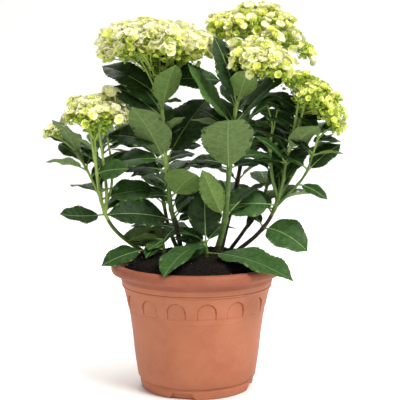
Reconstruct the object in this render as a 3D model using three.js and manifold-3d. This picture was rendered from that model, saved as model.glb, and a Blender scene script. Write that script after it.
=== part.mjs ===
// A potted bigleaf hydrangea in flower, in a plastic nursery pot moulded to look like terracotta.
// Units are millimetres and +Z is up. The origin is the centre of the pot's flat underside, and the
// plant is seen from its front when the eye looks along +Y, with +X to the right.
// Seven canes rise from the soil. Each grows along one curve: bare at its foot, then a leafy stem
// with side shoots, then the branching stalk of a flat-topped flower head.

import * as THREE from 'three';
import { mergeVertices } from 'three/addons/utils/BufferGeometryUtils.js';
import Module from 'manifold-3d';

const wasm = await Module();
wasm.setup();

// Clear space left between pieces that touch on the real plant
const CLEARANCE = 0.3;

// Sides of the limbs, and how far apart the rings of a limb are
const CANE_SIDES = 6;
const STEM_SIDES = 4;
const CANE_SPACING = 16;
const STEM_SPACING = 26;

// Side shoots: their tip, and the share of their cane's radius that they start with
const SHOOT_TIP_RADIUS = 1.2;
const SHOOT_START_SHARE = 0.8;

// Pot
const POT_HEIGHT = 176;
const POT_WALL = 2.6;
const POT_FLOOR = 4;
const POT_SIDES = 32;
const ARC_SEGMENTS = 3;
const LIP_RADIUS = 120;
const LIP_INNER_RADIUS = 107;
const LIP_DEPTH = 15;
const COLLAR_RADIUS = 106;
const COLLAR_DEPTH = 17;
const BODY_TOP_RADIUS = 101;
const BODY_FOOT_RADIUS = 82.5;
const BODY_BELLY = [88, 52];
const BODY_WAIST = [94, 104];
const FOOT_FLARE = 2;
const FOOT_RADIUS = 78;
const FOOT_HEIGHT = 15;
const FOOT_GROOVE = 3;
const NOTCH_COUNT = 4;
const NOTCH_WIDTH = 36;
const NOTCH_HEIGHT = 9;
const NOTCH_DEPTH = 4;
const NOTCH_TAPER = 0.38;
const NOTCH_TURN = -104.5;

// Frieze: a slightly raised band under the collar, with arched niches that are open below
const FRIEZE_FOOT_Z = 115;
const FRIEZE_RELIEF = 1.3;
const NICHE_COUNT = 15;
const NICHE_TURN = -106;
const NICHE_RADIUS = 13;
const NICHE_PLATE = 9;
const NICHE_LEG = 8;

// Soil, heaped a little above the pot's lip
const SOIL_TOP = 184;
const SOIL_FLAT_RADIUS = 80;
const SOIL_EDGE_Z = 164;

// Leaves: an ovate blade with a drawn-out tip, folded a little along its midrib
const LEAF_STALK_SHARE = 0.16;
const LEAF_WIDTH_SHARE = 0.6;
const LEAF_ARCH = 35;
const LEAF_FOLD = 14;
const LEAF_THICKNESS_SHARE = 0.016;
const LEAF_FOOT_THICKNESS = 1.3;
const LEAF_STALK_RADIUS = 1.3;
const LEAF_OUTLINE = [[0.08, 0.5], [0.32, 1], [0.6, 0.86], [0.84, 0.38]];

// Flower heads: rays from one hub, each with florets of four sepals on thin stalks
const RAY_COUNT = 6;
const DOME_DROP = 0.55;
const RAY_REACH = 0.5;
const RAY_RISE_SHARE = 0.8;
const RAY_RADIUS = 1.35;
const RAY_SIDES = 4;
const RAY_SINK = 6;
const RAY_STEP = 0.11;
const RAY_END = 0.95;
const FLORET_STALK_RADIUS = 0.8;
const FLORET_CUP = 5;
const FLORET_SIZES = [0.9, 0.95, 1, 1.05, 1.1];
const GOLDEN_ANGLE = 137.5;

// How much the seeded growth may sway a leaf of a pair: degrees of turn, of rise, and share of length
const SWAY = { turn: 14, rise: 8, length: 0.08 };

// Share of its length that a leaf of a pair keeps where it points in to the shaded middle of the crown
const SHADED_SHARE = 0.62;

const UP = new THREE.Vector3(0, 0, 1);

// One leaf: the height of its node, the way it points (turn about Z from +X, rise above level), its
// length with its stalk, and how far its upper side rolls about its own axis
function leaf(height, turn, rise, length, roll = 0, shape = {}) {
  return { height, turn, rise, length, roll, ...shape };
}

// Two opposite leaves of one node, which the seeded growth sways
function pair(height, turn, rise, length, shape = {}) {
  return [0, 180].map((side) => leaf(height, turn + side, rise, length, 0, { sways: true, ...shape }));
}

// Canes, each with its course from the soil to the hub of its flower head. Leaves grow from leafyFrom
// up to flowerFrom, and a side shoot leaves its cane at the height where it starts.
const CANES = [
  {
    name: 'left',
    seed: 11,
    course: [[-74, 20, 184], [-112, 6, 216], [-129, -5, 248], [-137, -14, 295], [-139, -25, 352]],
    radii: [3, 1.9],
    leafyFrom: 234,
    flowerFrom: 343,
    leaves: [
      leaf(243, -145, 4, 71, -33, { arch: -22 }),
      leaf(246, 40, 24, 48, 12),
      leaf(264, 24, 6, 86, 38),
      leaf(274, 84, 47, 62, -25),
      leaf(300, -38, 9, 62, 62),
      ...pair(272, 140, 8, 70),
      leaf(333, -147, 28, 40, 15, { width: 9 }),
    ],
    shoots: [
      {
        from: 266,
        course: [[-153, 2, 304], [-172, 7, 332], [-196, 9, 351]],
        flowerFrom: 345,
        head: { name: 'far_left', spread: 13, height: 12, lean: [180, 12], florets: 5, size: 8, rays: 2 },
        leaves: [
          leaf(304, -153, 12, 62, 17),
          leaf(318, 141, 26, 50, -34),
          leaf(320, -130, 47, 76, -6),
          leaf(330, 106, 30, 52, 0),
        ],
      },
      {
        from: 262,
        course: [[-133, 8, 304], [-132, 22, 338]],
        leaves: [leaf(334, 18, 31, 66, 17), leaf(330, 92, 34, 66, -10), ...pair(308, 30, 24, 50)],
      },
    ],
    head: { name: 'left', spread: 43, height: 53, lean: [0, 5], florets: 18, size: 9, drop: 0.5 },
  },
  {
    name: 'centre_left',
    seed: 23,
    course: [
      [-22, 25, 184], [-28, 8, 222], [-36, -4, 252], [-42, -19, 315], [-45, -28, 370],
      [-52, -22, 430],
    ],
    radii: [3.4, 2.2],
    leafyFrom: 225,
    flowerFrom: 402,
    leaves: [
      leaf(232, -154, 8, 104, -40),
      leaf(236, 46, 31, 70, 30),
      leaf(264, -62, 27, 90, -30, { width: 56 }),
      leaf(268, 140, 25, 74, 0),
      leaf(292, 62, 22, 60, 0),
      leaf(311, -131, 51, 106, 19),
      leaf(316, 32, 52, 112, 33, { width: 64 }),
      leaf(350, 105, 44, 74, 0),
      leaf(354, -48, 30, 50, 0),
      leaf(384, 150, 42, 90, -34),
      leaf(386, -67, 50, 80, 6),
    ],
    shoots: [],
    head: { name: 'centre_left', spread: 78, height: 75, lean: [0, 3], florets: 28, size: 11, drop: 0.34 },
  },
  {
    name: 'back_left',
    seed: 37,
    course: [[-28, 48, 184], [-42, 66, 216], [-52, 86, 262], [-62, 102, 304], [-74, 116, 345]],
    radii: [3, 2],
    leafyFrom: 236,
    flowerFrom: 334,
    leaves: [
      ...pair(248, 150, 14, 86),
      ...pair(270, 62, 22, 84),
      ...pair(294, 155, 30, 84),
      ...pair(318, 70, 34, 76),
    ],
    shoots: [],
    head: { name: 'back_left', spread: 44, height: 46, lean: [110, 12], florets: 14, size: 9 },
  },
  {
    name: 'centre',
    seed: 41,
    course: [
      [26, 0, 184], [34, -11, 214], [40, -22, 245], [43, -38, 296], [49, -47, 360], [55, -51, 400],
      [79, -50, 430],
    ],
    radii: [4, 2.4],
    leafyFrom: 228,
    flowerFrom: 410,
    leaves: [
      leaf(235, -120, 50, 98, 40, { width: 30, arch: 8 }),
      leaf(239, 20, 36, 84, -2, { stalk: 0.38 }),
      leaf(272, 135, 20, 62, 0),
      leaf(302, -92, 40, 120, 5, { width: 68, arch: 62, stalk: 0.1 }),
      leaf(309, 45, 2, 68, 17),
      leaf(313, 166, 7, 54, -30),
      leaf(366, -169, 53, 104, -35, { width: 42, arch: -12 }),
      leaf(369, -4, 44, 112, 24, { width: 44, arch: 14 }),
      leaf(388, 110, 40, 56, 0),
      leaf(396, -72, 46, 60, -20, { width: 36 }),
    ],
    shoots: [],
    head: { name: 'centre', spread: 48, height: 48, lean: [-72, 20], florets: 19, size: 9 },
  },
  {
    name: 'back_right',
    seed: 53,
    course: [[34, 26, 184], [42, 40, 216], [53, 58, 256], [64, 70, 307], [75, 76, 380], [86, 78, 474]],
    radii: [3.4, 2.2],
    leafyFrom: 240,
    flowerFrom: 448,
    leaves: [
      ...pair(258, 112, 20, 84),
      ...pair(284, 160, 26, 80),
      leaf(307, -171, 56, 98, -57),
      leaf(311, 30, 30, 60, 0),
      ...pair(346, 110, 34, 78),
      leaf(392, 140, 58, 68, -25),
      leaf(401, -172, 58, 106, -44, { width: 48, arch: -20 }),
      leaf(405, 20, 34, 70, 0),
      leaf(426, 95, 36, 72, 0),
    ],
    shoots: [],
    head: { name: 'back_right', spread: 80, height: 62, lean: [0, 16], florets: 26, size: 11, drop: 0.82 },
  },
  {
    name: 'right',
    seed: 67,
    course: [[58, 40, 184], [86, 25, 210], [105, 14, 238], [118, 4, 278], [127, -2, 330], [145, -6, 388]],
    radii: [3, 1.9],
    leafyFrom: 212,
    flowerFrom: 366,
    leaves: [
      leaf(219, -34, -20, 84, 40, { width: 50, arch: 85 }),
      leaf(221, 140, 34, 48, -4),
      leaf(254, 54, 26, 58, 6),
      leaf(254, -171, -1, 84, -48, { width: 50 }),
      leaf(314, -145, 34, 70, -52, { width: 18 }),
      leaf(328, -50, 34, 70, -17),
      leaf(352, 143, 26, 48, -16),
    ],
    shoots: [
      {
        from: 264,
        course: [[140, 22, 303], [155, 29, 335], [166, 34, 358]],
        leaves: [leaf(321, -19, 7, 56, 11), leaf(326, 110, 30, 66, 0), ...pair(344, 50, 30, 56)],
      },
      {
        from: 250,
        course: [[147, -8, 294], [160, -16, 330], [168, -22, 362]],
        leaves: [
          leaf(285, -43, -20, 54, 28, { width: 20 }),
          leaf(300, 14, 38, 66, 36),
          leaf(344, 39, -1, 48, 21),
          leaf(348, -16, 30, 46, 0),
        ],
      },
      {
        from: 258,
        course: [[106, 24, 300], [106, 36, 337], [104, 42, 368]],
        leaves: [...pair(318, 150, 24, 50), leaf(338, 140, 48, 44, -33), leaf(356, 40, 40, 52, 0)],
      },
    ],
    head: { name: 'right', spread: 57, height: 45, lean: [-8, 38], florets: 19, size: 10 },
  },
  {
    name: 'far_right',
    seed: 79,
    course: [[50, 62, 184], [66, 70, 204], [87, 82, 234], [104, 94, 270], [114, 102, 312], [120, 108, 342]],
    radii: [2.8, 1.6],
    leafyFrom: 230,
    flowerFrom: null,
    leaves: [
      ...pair(246, 20, 14, 78),
      ...pair(268, 96, 24, 76),
      ...pair(294, 22, 30, 72),
      ...pair(322, 100, 38, 62),
    ],
    shoots: [],
    head: null,
  },
];

// Short shoots straight from the soil, with the low leaves that lie round and over the pot's lip
const LOW_SHOOTS = [
  {
    name: 'low_left',
    seed: 83,
    course: [[-46, 2, 184], [-48, 0, 208]],
    radii: [2.4, 1.8],
    leaves: [
      leaf(193, -152, -10, 98, -30, { stalk: 0.42, arch: 45 }),
      leaf(204, 150, 0, 62, -28),
      leaf(206, -143, 4, 58, 37, { width: 20 }),
      leaf(197, -112, 2, 50, -3),
    ],
  },
  {
    name: 'low_front',
    seed: 89,
    course: [[14, -16, 184], [12, -20, 208]],
    radii: [2.6, 2],
    leaves: [
      leaf(200, -118, -12, 122, 8, { width: 50, arch: 45 }),
      leaf(190, -38, -9, 146, 8, { width: 64, arch: 32 }),
      leaf(200, 96, 76, 88, -10, { width: 46, arch: 25 }),
      leaf(205, -165, 20, 44, 0),
    ],
  },
  {
    name: 'low_back',
    seed: 97,
    course: [[-6, 66, 184], [-8, 70, 204]],
    radii: [2.4, 1.8],
    leaves: [leaf(194, 84, 0, 88, 0, { arch: 45 }), leaf(200, 134, 8, 80, 0), leaf(201, 22, 6, 74, 0)],
  },
];

const MATERIALS = {
  pot: { color: 0xbb7355, roughness: 0.7 },
  soil: { color: 0x1c1714, roughness: 1 },
  cane: { color: 0x6f7a42, roughness: 0.75 },
  foliage: { color: 0x35602f, roughness: 0.5 },
  blossom: { color: 0xe6e8a4, roughness: 0.7 },
};

const plant = new THREE.Group();
const standing = [];

// Adds a finished piece to the plant, and keeps its solid so that later growth clears it
function addPiece(name, look, solid) {
  const material = new THREE.MeshStandardMaterial({ ...MATERIALS[look], metalness: 0 });
  const mesh = new THREE.Mesh(toGeometry(solid), material);
  mesh.name = name;
  plant.add(mesh);
  standing.push(solid);
}

// Whether a new solid would touch a standing piece
function touches(solid) {
  return standing.some((piece) => piece.minGap(solid, 2 * CLEARANCE) < CLEARANCE);
}

// Linear congruential numbers from 0 to 1, the same in any language
function seededNumbers(seed) {
  let state = seed;
  return () => {
    state = (Math.imul(state, 1664525) + 1013904223) >>> 0;
    return state / 4294967296;
  };
}

const radians = THREE.MathUtils.degToRad;
const point = ([x, y, z]) => new THREE.Vector3(x, y, z);

// Unit vector that points turn degrees about Z from +X and rise degrees above level
function direction(turn, rise) {
  return new THREE.Vector3(
    Math.cos(radians(rise)) * Math.cos(radians(turn)),
    Math.cos(radians(rise)) * Math.sin(radians(turn)),
    Math.sin(radians(rise)),
  );
}

// Closed solid from a geometry, with its shared vertices merged
function toSolid(geometry) {
  const bare = geometry.clone();
  bare.deleteAttribute('normal');
  bare.deleteAttribute('uv');
  const merged = mergeVertices(bare, 1e-3);
  const triVerts = [];
  for (let i = 0; i < merged.index.count; i += 3) {
    const corners = [0, 1, 2].map((k) => merged.index.getX(i + k));
    if (new Set(corners).size === 3) triVerts.push(...corners);
  }
  return new wasm.Manifold(new wasm.Mesh({
    numProp: 3,
    vertProperties: new Float32Array(merged.attributes.position.array),
    triVerts: new Uint32Array(triVerts),
  }));
}

// Geometry from a solid, for drawing
function toGeometry(solid) {
  const { vertProperties, triVerts } = solid.getMesh();
  const geometry = new THREE.BufferGeometry();
  geometry.setAttribute('position', new THREE.BufferAttribute(new Float32Array(vertProperties), 3));
  geometry.setIndex(new THREE.BufferAttribute(new Uint32Array(triVerts), 1));
  geometry.computeVertexNormals();
  return geometry;
}

// One body from several that overlap. Loose scraps and sealed hollows are dropped.
function fuse(solids) {
  const joined = solids.reduce((all, solid) => all.add(solid));
  return joined.decompose().reduce((best, body) => (body.volume() > best.volume() ? body : best));
}

// Closed skin over rings of points, which ends flat on a ring or in the single point of a tip
function skin(rings) {
  const positions = [];
  const index = [];
  const starts = rings.map((ring) => {
    const start = positions.length / 3;
    ring.forEach((p) => positions.push(p.x, p.y, p.z));
    return start;
  });
  const sides = rings[0].length;
  for (let r = 0; r + 1 < rings.length; r += 1) {
    for (let k = 0; k < sides; k += 1) {
      const next = (k + 1) % sides;
      const [a, b] = [starts[r] + k, starts[r] + next];
      if (rings[r + 1].length === 1) {
        index.push(a, b, starts[r + 1]);
      } else {
        const [c, d] = [starts[r + 1] + k, starts[r + 1] + next];
        index.push(a, b, d, a, d, c);
      }
    }
  }
  for (let k = 1; k + 1 < sides; k += 1) {
    index.push(starts[0], starts[0] + k + 1, starts[0] + k);
    if (rings.at(-1).length > 1) index.push(starts.at(-1), starts.at(-1) + k, starts.at(-1) + k + 1);
  }
  const geometry = new THREE.BufferGeometry();
  geometry.setAttribute('position', new THREE.Float32BufferAttribute(positions, 3));
  geometry.setIndex(index);
  return geometry;
}

// Tapering limb through points, with a radius and a tangent at each
function limb(points, radii, tangents, sides) {
  const across = new THREE.Vector3(1, 0, 0).cross(tangents[0]).normalize();
  const rings = points.map((p, i) => {
    across.addScaledVector(tangents[i], -across.dot(tangents[i])).normalize();
    const beside = tangents[i].clone().cross(across);
    return Array.from({ length: sides }, (_, k) => {
      const angle = (2 * Math.PI * k) / sides;
      return p.clone()
        .addScaledVector(across, radii[i] * Math.cos(angle))
        .addScaledVector(beside, radii[i] * Math.sin(angle));
    });
  });
  return toSolid(skin(rings));
}

// Straight twig between two points
function twig(from, to, radius, sides) {
  const along = to.clone().sub(from).normalize();
  return limb([from, to], [radius, radius], [along, along], sides);
}

// Course of a cane or shoot, read by its height or by its share of length
class Course {
  constructor(points, radii) {
    this.curve = new THREE.CatmullRomCurve3(points.map(point), false, 'catmullrom', 0.5);
    this.radii = radii;
    this.length = this.curve.getLength();
  }

  // Share of the length at which the course reaches a height
  shareAt(height) {
    let [low, high] = [0, 1];
    for (let step = 0; step < 30; step += 1) {
      const middle = (low + high) / 2;
      if (this.curve.getPointAt(middle).z < height) low = middle;
      else high = middle;
    }
    return (low + high) / 2;
  }

  radiusAt(share) {
    return THREE.MathUtils.lerp(this.radii[0], this.radii[1], share);
  }

  pointAtHeight(height) {
    return this.curve.getPointAt(this.shareAt(height));
  }

  // Solid of the course between two shares of its length
  solid(from, to, sides, spacing) {
    const count = Math.max(2, Math.ceil(((to - from) * this.length) / spacing));
    const shares = Array.from({ length: count + 1 }, (_, i) => THREE.MathUtils.lerp(from, to, i / count));
    return limb(
      shares.map((share) => this.curve.getPointAt(share)),
      shares.map((share) => this.radiusAt(share)),
      shares.map((share) => this.curve.getTangentAt(share)),
      sides,
    );
  }
}

// One leaf from the axis of its stem: a stalk and a folded blade along an arc, in one closed skin
function leafSolid(root, { turn, rise, length, roll, width, arch = LEAF_ARCH, stalk = LEAF_STALK_SHARE }) {
  const along = direction(turn, rise);
  const beside = along.clone().cross(UP).normalize();
  const above = beside.clone().cross(along);
  const normal = above.clone().multiplyScalar(Math.cos(radians(roll)))
    .addScaledVector(beside, Math.sin(radians(roll)));
  const lateral = beside.clone().multiplyScalar(Math.cos(radians(roll)))
    .addScaledVector(above, -Math.sin(radians(roll)));
  const blade = length * (1 - stalk);
  const halfWidth = (width ?? blade * LEAF_WIDTH_SHARE) / 2;
  const halfThickness = (blade * LEAF_THICKNESS_SHARE) / 2;
  const bend = radians(arch);
  const ring = (distance, half, thick, fold) => {
    const angle = bend / 2 - (bend * distance) / length;
    const rib = root.clone()
      .addScaledVector(along, ((Math.sin(bend / 2) - Math.sin(angle)) * length) / bend)
      .addScaledVector(normal, ((Math.cos(angle) - Math.cos(bend / 2)) * length) / bend);
    const out = normal.clone().multiplyScalar(Math.cos(angle)).addScaledVector(along, -Math.sin(angle));
    if (half === 0) return [rib];
    const margin = (side) => rib.clone()
      .addScaledVector(lateral, side * half * Math.cos(fold))
      .addScaledVector(out, half * Math.sin(fold));
    const face = (side) => rib.clone().addScaledVector(out, side * thick);
    return [margin(1), face(-1), margin(-1), face(1)];
  };
  const fold = radians(LEAF_FOLD);
  const rings = [
    ring(0, LEAF_STALK_RADIUS, LEAF_STALK_RADIUS, 0),
    ring(length - blade, LEAF_STALK_RADIUS * 0.9, LEAF_STALK_RADIUS * 0.9, 0),
    ...LEAF_OUTLINE.map(([share, half]) => ring(
      length - blade * (1 - share), halfWidth * half, halfThickness * (LEAF_FOOT_THICKNESS - share), fold,
    )),
    ring(length, 0),
  ];
  return toSolid(skin(rings));
}

// One open floret: a thin stalk from its node, and a shallow cup with a corner for each of four sepals
function floretSolid(node, centre, out, radius) {
  const along = centre.clone().sub(node).normalize();
  const across = new THREE.Vector3(0, 1, 0).cross(out).normalize();
  const ring = (middle, axis, size) => {
    const first = across.clone().addScaledVector(axis, -across.dot(axis)).normalize();
    const second = axis.clone().cross(first);
    return [[1, 0], [0, 1], [-1, 0], [0, -1]].map(([u, v]) => middle.clone()
      .addScaledVector(first, size * u)
      .addScaledVector(second, size * v));
  };
  return toSolid(skin([
    ring(node, along, FLORET_STALK_RADIUS),
    ring(centre.clone().addScaledVector(out, -FLORET_CUP / 2), along, FLORET_STALK_RADIUS),
    ring(centre.clone().addScaledVector(out, FLORET_CUP / 2), out, radius),
    [centre],
  ]));
}

// One flower head: its stalk, six rays round a middle one, and florets spread by the golden angle
function headSolid(stalk, hub, root, head) {
  const { spread, height, lean, florets, size, rays: count = RAY_COUNT, drop = DOME_DROP } = head;
  const tilt = new THREE.Quaternion().setFromAxisAngle(
    direction(lean[0] + 90, 0),
    radians(lean[1]),
  );
  const place = (reach, turn, rise) => direction(turn, 0).multiplyScalar(reach)
    .addScaledVector(UP, rise).applyQuaternion(tilt).add(hub);
  const rays = [place(0, 0, height * RAY_REACH)];
  for (let k = 0; k < count; k += 1) {
    rays.push(place(spread * RAY_REACH, (360 * k) / count, height * RAY_REACH * RAY_RISE_SHARE));
  }
  const solids = [stalk, ...rays.map((tip) => twig(root, tip, RAY_RADIUS, RAY_SIDES))];
  const borne = rays.map(() => 0);
  for (let i = 0; i < florets; i += 1) {
    const reach = Math.sqrt((i + 0.5) / florets);
    const centre = place(spread * reach, i * GOLDEN_ANGLE, height * (1 - drop * reach * reach));
    const distances = rays.map((tip) => tip.distanceTo(centre));
    const nearest = distances.indexOf(Math.min(...distances));
    const out = centre.clone().sub(hub).normalize();
    const node = root.clone().lerp(rays[nearest], RAY_END - RAY_STEP * borne[nearest]);
    const floret = floretSolid(node, centre, out, size * FLORET_SIZES[i % FLORET_SIZES.length]);
    if (touches(floret)) continue;
    borne[nearest] += 1;
    solids.push(floret);
  }
  return fuse(solids);
}

// Solid turned about Z from a profile of [radius, height] that starts and ends on the axis
function turned(profile) {
  const lathe = new THREE.LatheGeometry(profile.map(([r, z]) => new THREE.Vector2(r, z)), POT_SIDES);
  lathe.rotateX(Math.PI / 2);
  return toSolid(lathe);
}

// Outline on the pot's side, with x round the pot and y up it, made solid outwards from a radius
function onPotSide(shape, depth, turn, radius, height, slope = 0) {
  const plate = new THREE.ExtrudeGeometry(shape, { depth, bevelEnabled: false, curveSegments: ARC_SEGMENTS });
  plate.rotateX(Math.PI / 2);
  plate.rotateZ(Math.PI / 2);
  plate.rotateY(slope);
  plate.translate(radius, 0, height);
  plate.rotateZ(radians(turn));
  return toSolid(plate);
}

// One niche of the frieze: a round head on two straight sides
function nicheShape() {
  const shape = new THREE.Shape();
  shape.moveTo(NICHE_RADIUS, -FRIEZE_RELIEF);
  shape.lineTo(NICHE_RADIUS, NICHE_LEG);
  shape.absarc(0, NICHE_LEG, NICHE_RADIUS, 0, Math.PI, false);
  shape.lineTo(-NICHE_RADIUS, -FRIEZE_RELIEF);
  return shape;
}

// One drainage notch under the pot's foot
function notchShape() {
  const shape = new THREE.Shape();
  shape.moveTo(-NOTCH_WIDTH / 2, -1);
  shape.lineTo(NOTCH_WIDTH / 2, -1);
  shape.lineTo(NOTCH_WIDTH * NOTCH_TAPER, NOTCH_HEIGHT);
  shape.lineTo(-NOTCH_WIDTH * NOTCH_TAPER, NOTCH_HEIGHT);
  return shape;
}

// Heights where the lip, the collar and the body end, and the body's own radii from its foot up
const LIP_FOOT = POT_HEIGHT - LIP_DEPTH;
const COLLAR_FOOT = LIP_FOOT - COLLAR_DEPTH;
const BODY_FOOT = FOOT_HEIGHT + FOOT_GROOVE;
const BODY_SLOPE = (BODY_TOP_RADIUS - BODY_WAIST[0]) / (COLLAR_FOOT - BODY_WAIST[1]);
const FRIEZE_FOOT_RADIUS = BODY_WAIST[0] + BODY_SLOPE * (FRIEZE_FOOT_Z - BODY_WAIST[1]);
const BODY = [[BODY_FOOT_RADIUS, BODY_FOOT], BODY_WAIST, [BODY_TOP_RADIUS, COLLAR_FOOT]];

// Pot: notched foot, tapering body with its frieze, collar and lip
function potSolid() {
  const outer = [
    [0, 0], [FOOT_RADIUS, 0], [FOOT_RADIUS + FOOT_FLARE, FOOT_HEIGHT - 1], [FOOT_RADIUS + 1, FOOT_HEIGHT + 1],
    [BODY_FOOT_RADIUS, BODY_FOOT], BODY_BELLY, BODY_WAIST,
    [FRIEZE_FOOT_RADIUS, FRIEZE_FOOT_Z], [FRIEZE_FOOT_RADIUS + FRIEZE_RELIEF, FRIEZE_FOOT_Z + 1],
    [BODY_TOP_RADIUS + FRIEZE_RELIEF, COLLAR_FOOT],
    [COLLAR_RADIUS - 1, COLLAR_FOOT + 1], [COLLAR_RADIUS + 1, LIP_FOOT - 1],
    [LIP_RADIUS - 4, LIP_FOOT], [LIP_RADIUS, LIP_FOOT + 5], [LIP_RADIUS - 1, POT_HEIGHT - 2],
    [LIP_RADIUS - 3, POT_HEIGHT],
  ];
  const inner = [[LIP_INNER_RADIUS + 1, POT_HEIGHT], [LIP_INNER_RADIUS, POT_HEIGHT - 3], ...innerWall(0)];
  let pot = turned([...outer, ...inner]);
  for (let k = 0; k < NICHE_COUNT; k += 1) {
    const turn = NICHE_TURN + (360 * k) / NICHE_COUNT;
    const slope = Math.atan(BODY_SLOPE);
    pot = pot.subtract(onPotSide(nicheShape(), NICHE_PLATE, turn, FRIEZE_FOOT_RADIUS, FRIEZE_FOOT_Z, slope));
  }
  for (let k = 0; k < NOTCH_COUNT; k += 1) {
    const turn = NOTCH_TURN + (360 * k) / NOTCH_COUNT;
    pot = pot.subtract(onPotSide(notchShape(), NOTCH_DEPTH * 3, turn, FOOT_RADIUS - NOTCH_DEPTH, 0));
  }
  return fuse([pot]);
}

// Pot's inner wall from the collar down to its floor and in to the axis, drawn in by a gap
function innerWall(gap) {
  const wall = [
    ...BODY.toReversed().map(([radius, height]) => [radius - POT_WALL, height]),
    [FOOT_RADIUS - POT_WALL - NOTCH_DEPTH, POT_FLOOR],
  ];
  return [...wall.map(([radius, height]) => [radius - gap, height + gap]), [0, POT_FLOOR + gap]];
}

// Soil that fills the pot, heaped in the middle
function soilSolid() {
  const edge = BODY_TOP_RADIUS - POT_WALL + 2;
  const heap = [0, 0.45, 1].map((share) => [
    THREE.MathUtils.lerp(edge, SOIL_FLAT_RADIUS, share),
    SOIL_EDGE_Z + (SOIL_TOP - SOIL_EDGE_Z) * Math.sin((Math.PI / 2) * share),
  ]);
  return turned([...innerWall(CLEARANCE).toReversed(), ...heap, [0, SOIL_TOP]]);
}

// Leaves of one stem that clear every other piece, in the order they grow
function leafSolids(course, leaves, draw) {
  const solids = [];
  for (const item of leaves) {
    const sway = item.sways ? [draw(), draw(), draw()].map((value) => value * 2 - 1) : [0, 0, 0];
    const root = course.pointAtHeight(item.height);
    const isShaded = item.sways && direction(item.turn, 0).dot(root) < 0;
    const grown = {
      ...item,
      turn: item.turn + SWAY.turn * sway[0],
      rise: item.rise + SWAY.rise * sway[1],
      length: item.length * (1 + SWAY.length * sway[2]) * (isShaded ? SHADED_SHARE : 1),
    };
    const solid = leafSolid(root, grown);
    if (!touches(solid)) solids.push(solid);
  }
  return solids;
}

// Side shoot's course, from its cane's axis
function shootCourse(course, shoot) {
  const start = course.pointAtHeight(shoot.from);
  const radius = course.radiusAt(course.shareAt(shoot.from)) * SHOOT_START_SHARE;
  return new Course([start.toArray(), ...shoot.course], [radius, SHOOT_TIP_RADIUS]);
}

// Every leafy stem: a cane or shoot with its course and the shares where its leaves and flowers begin
function stemOf(item, line, start) {
  const leafyTo = item.flowerFrom ? line.shareAt(item.flowerFrom) : 1;
  return { ...item, line, start, leafyTo };
}

addPiece('pot', 'pot', potSolid());
addPiece('soil', 'soil', soilSolid());

const canes = CANES.map((cane) => {
  const line = new Course(cane.course, cane.radii);
  const bareTo = line.shareAt(cane.leafyFrom);
  const shoots = cane.shoots.map((shoot) => stemOf(shoot, shootCourse(line, shoot), 0));
  return { ...stemOf(cane, line, bareTo + CLEARANCE / line.length), bareTo, shoots };
});

for (const { name, line, bareTo } of canes) {
  const bare = line.solid(0, bareTo, CANE_SIDES, CANE_SPACING);
  addPiece(`cane_${name}`, 'cane', bare.trimByPlane([0, 0, 1], SOIL_TOP + CLEARANCE));
}
for (const { line, leafyTo, head } of canes.flatMap((cane) => [cane, ...cane.shoots])) {
  if (!head) continue;
  const stalk = line.solid(leafyTo + CLEARANCE / line.length, 1, STEM_SIDES, STEM_SPACING);
  const hub = line.curve.getPointAt(1);
  const root = line.curve.getPointAt(1 - RAY_SINK / line.length);
  addPiece(`flower_head_${head.name}`, 'blossom', headSolid(stalk, hub, root, head));
}
for (const cane of canes) {
  const draw = seededNumbers(cane.seed);
  const solids = [cane, ...cane.shoots].flatMap(({ line, start, leafyTo, leaves }) => [
    line.solid(start, leafyTo, STEM_SIDES, STEM_SPACING),
    ...leafSolids(line, leaves, draw),
  ]);
  addPiece(`foliage_${cane.name}`, 'foliage', fuse(solids));
}
for (const { name, seed, course, radii, leaves } of LOW_SHOOTS) {
  const line = new Course(course, radii);
  const stem = line.solid(0, 1, STEM_SIDES, STEM_SPACING).trimByPlane([0, 0, 1], SOIL_TOP + CLEARANCE);
  const solids = [stem, ...leafSolids(line, leaves, seededNumbers(seed))];
  addPiece(`foliage_${name}`, 'foliage', fuse(solids));
}

export default plant;
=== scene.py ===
"""A potted bigleaf hydrangea in flower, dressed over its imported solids.

Sizes are in millimetres until a mesh is made. The origin is the centre of the pot's flat underside, +Z is
up, and the plant's front faces -Y. Every cane, leaf and flower head grows by the rule of the solids: a cane
follows one curve from the soil to the hub of its flower head, its leaves point where the table of canes
says, and its florets are spread by the golden angle.
"""

from __future__ import annotations

import logging
import math
from dataclasses import dataclass, field
from enum import Enum
from functools import partial
from typing import Callable, Iterable, Sequence

import bpy
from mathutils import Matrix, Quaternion, Vector, noise

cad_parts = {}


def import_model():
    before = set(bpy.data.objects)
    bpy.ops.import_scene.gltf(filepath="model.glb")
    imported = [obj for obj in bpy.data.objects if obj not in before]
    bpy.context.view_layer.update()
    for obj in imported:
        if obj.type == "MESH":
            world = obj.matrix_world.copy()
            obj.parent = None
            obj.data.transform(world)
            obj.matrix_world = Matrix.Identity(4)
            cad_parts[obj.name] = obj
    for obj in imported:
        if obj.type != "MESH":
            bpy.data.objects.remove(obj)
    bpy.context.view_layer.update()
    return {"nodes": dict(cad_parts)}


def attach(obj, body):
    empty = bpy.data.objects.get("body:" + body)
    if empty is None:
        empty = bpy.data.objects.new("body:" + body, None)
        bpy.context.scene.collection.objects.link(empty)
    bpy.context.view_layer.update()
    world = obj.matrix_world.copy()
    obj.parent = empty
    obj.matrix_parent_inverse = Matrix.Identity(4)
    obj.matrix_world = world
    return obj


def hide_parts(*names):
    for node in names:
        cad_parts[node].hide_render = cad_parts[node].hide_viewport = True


LOG = logging.getLogger("hydrangea")
MM = 0.001
UP = Vector((0.0, 0.0, 1.0))
GOLDEN_ANGLE = 137.5
GLOW_DEPTH = 0.003

# Where the camera stands
EYE = Vector((4.5, -1270.0, 398.0))

Spurs = tuple[tuple[float, float, float, float], ...]
Profile = tuple[tuple[float, float], ...]
NodeTree = bpy.types.NodeTree
Socket = bpy.types.NodeSocket


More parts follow.
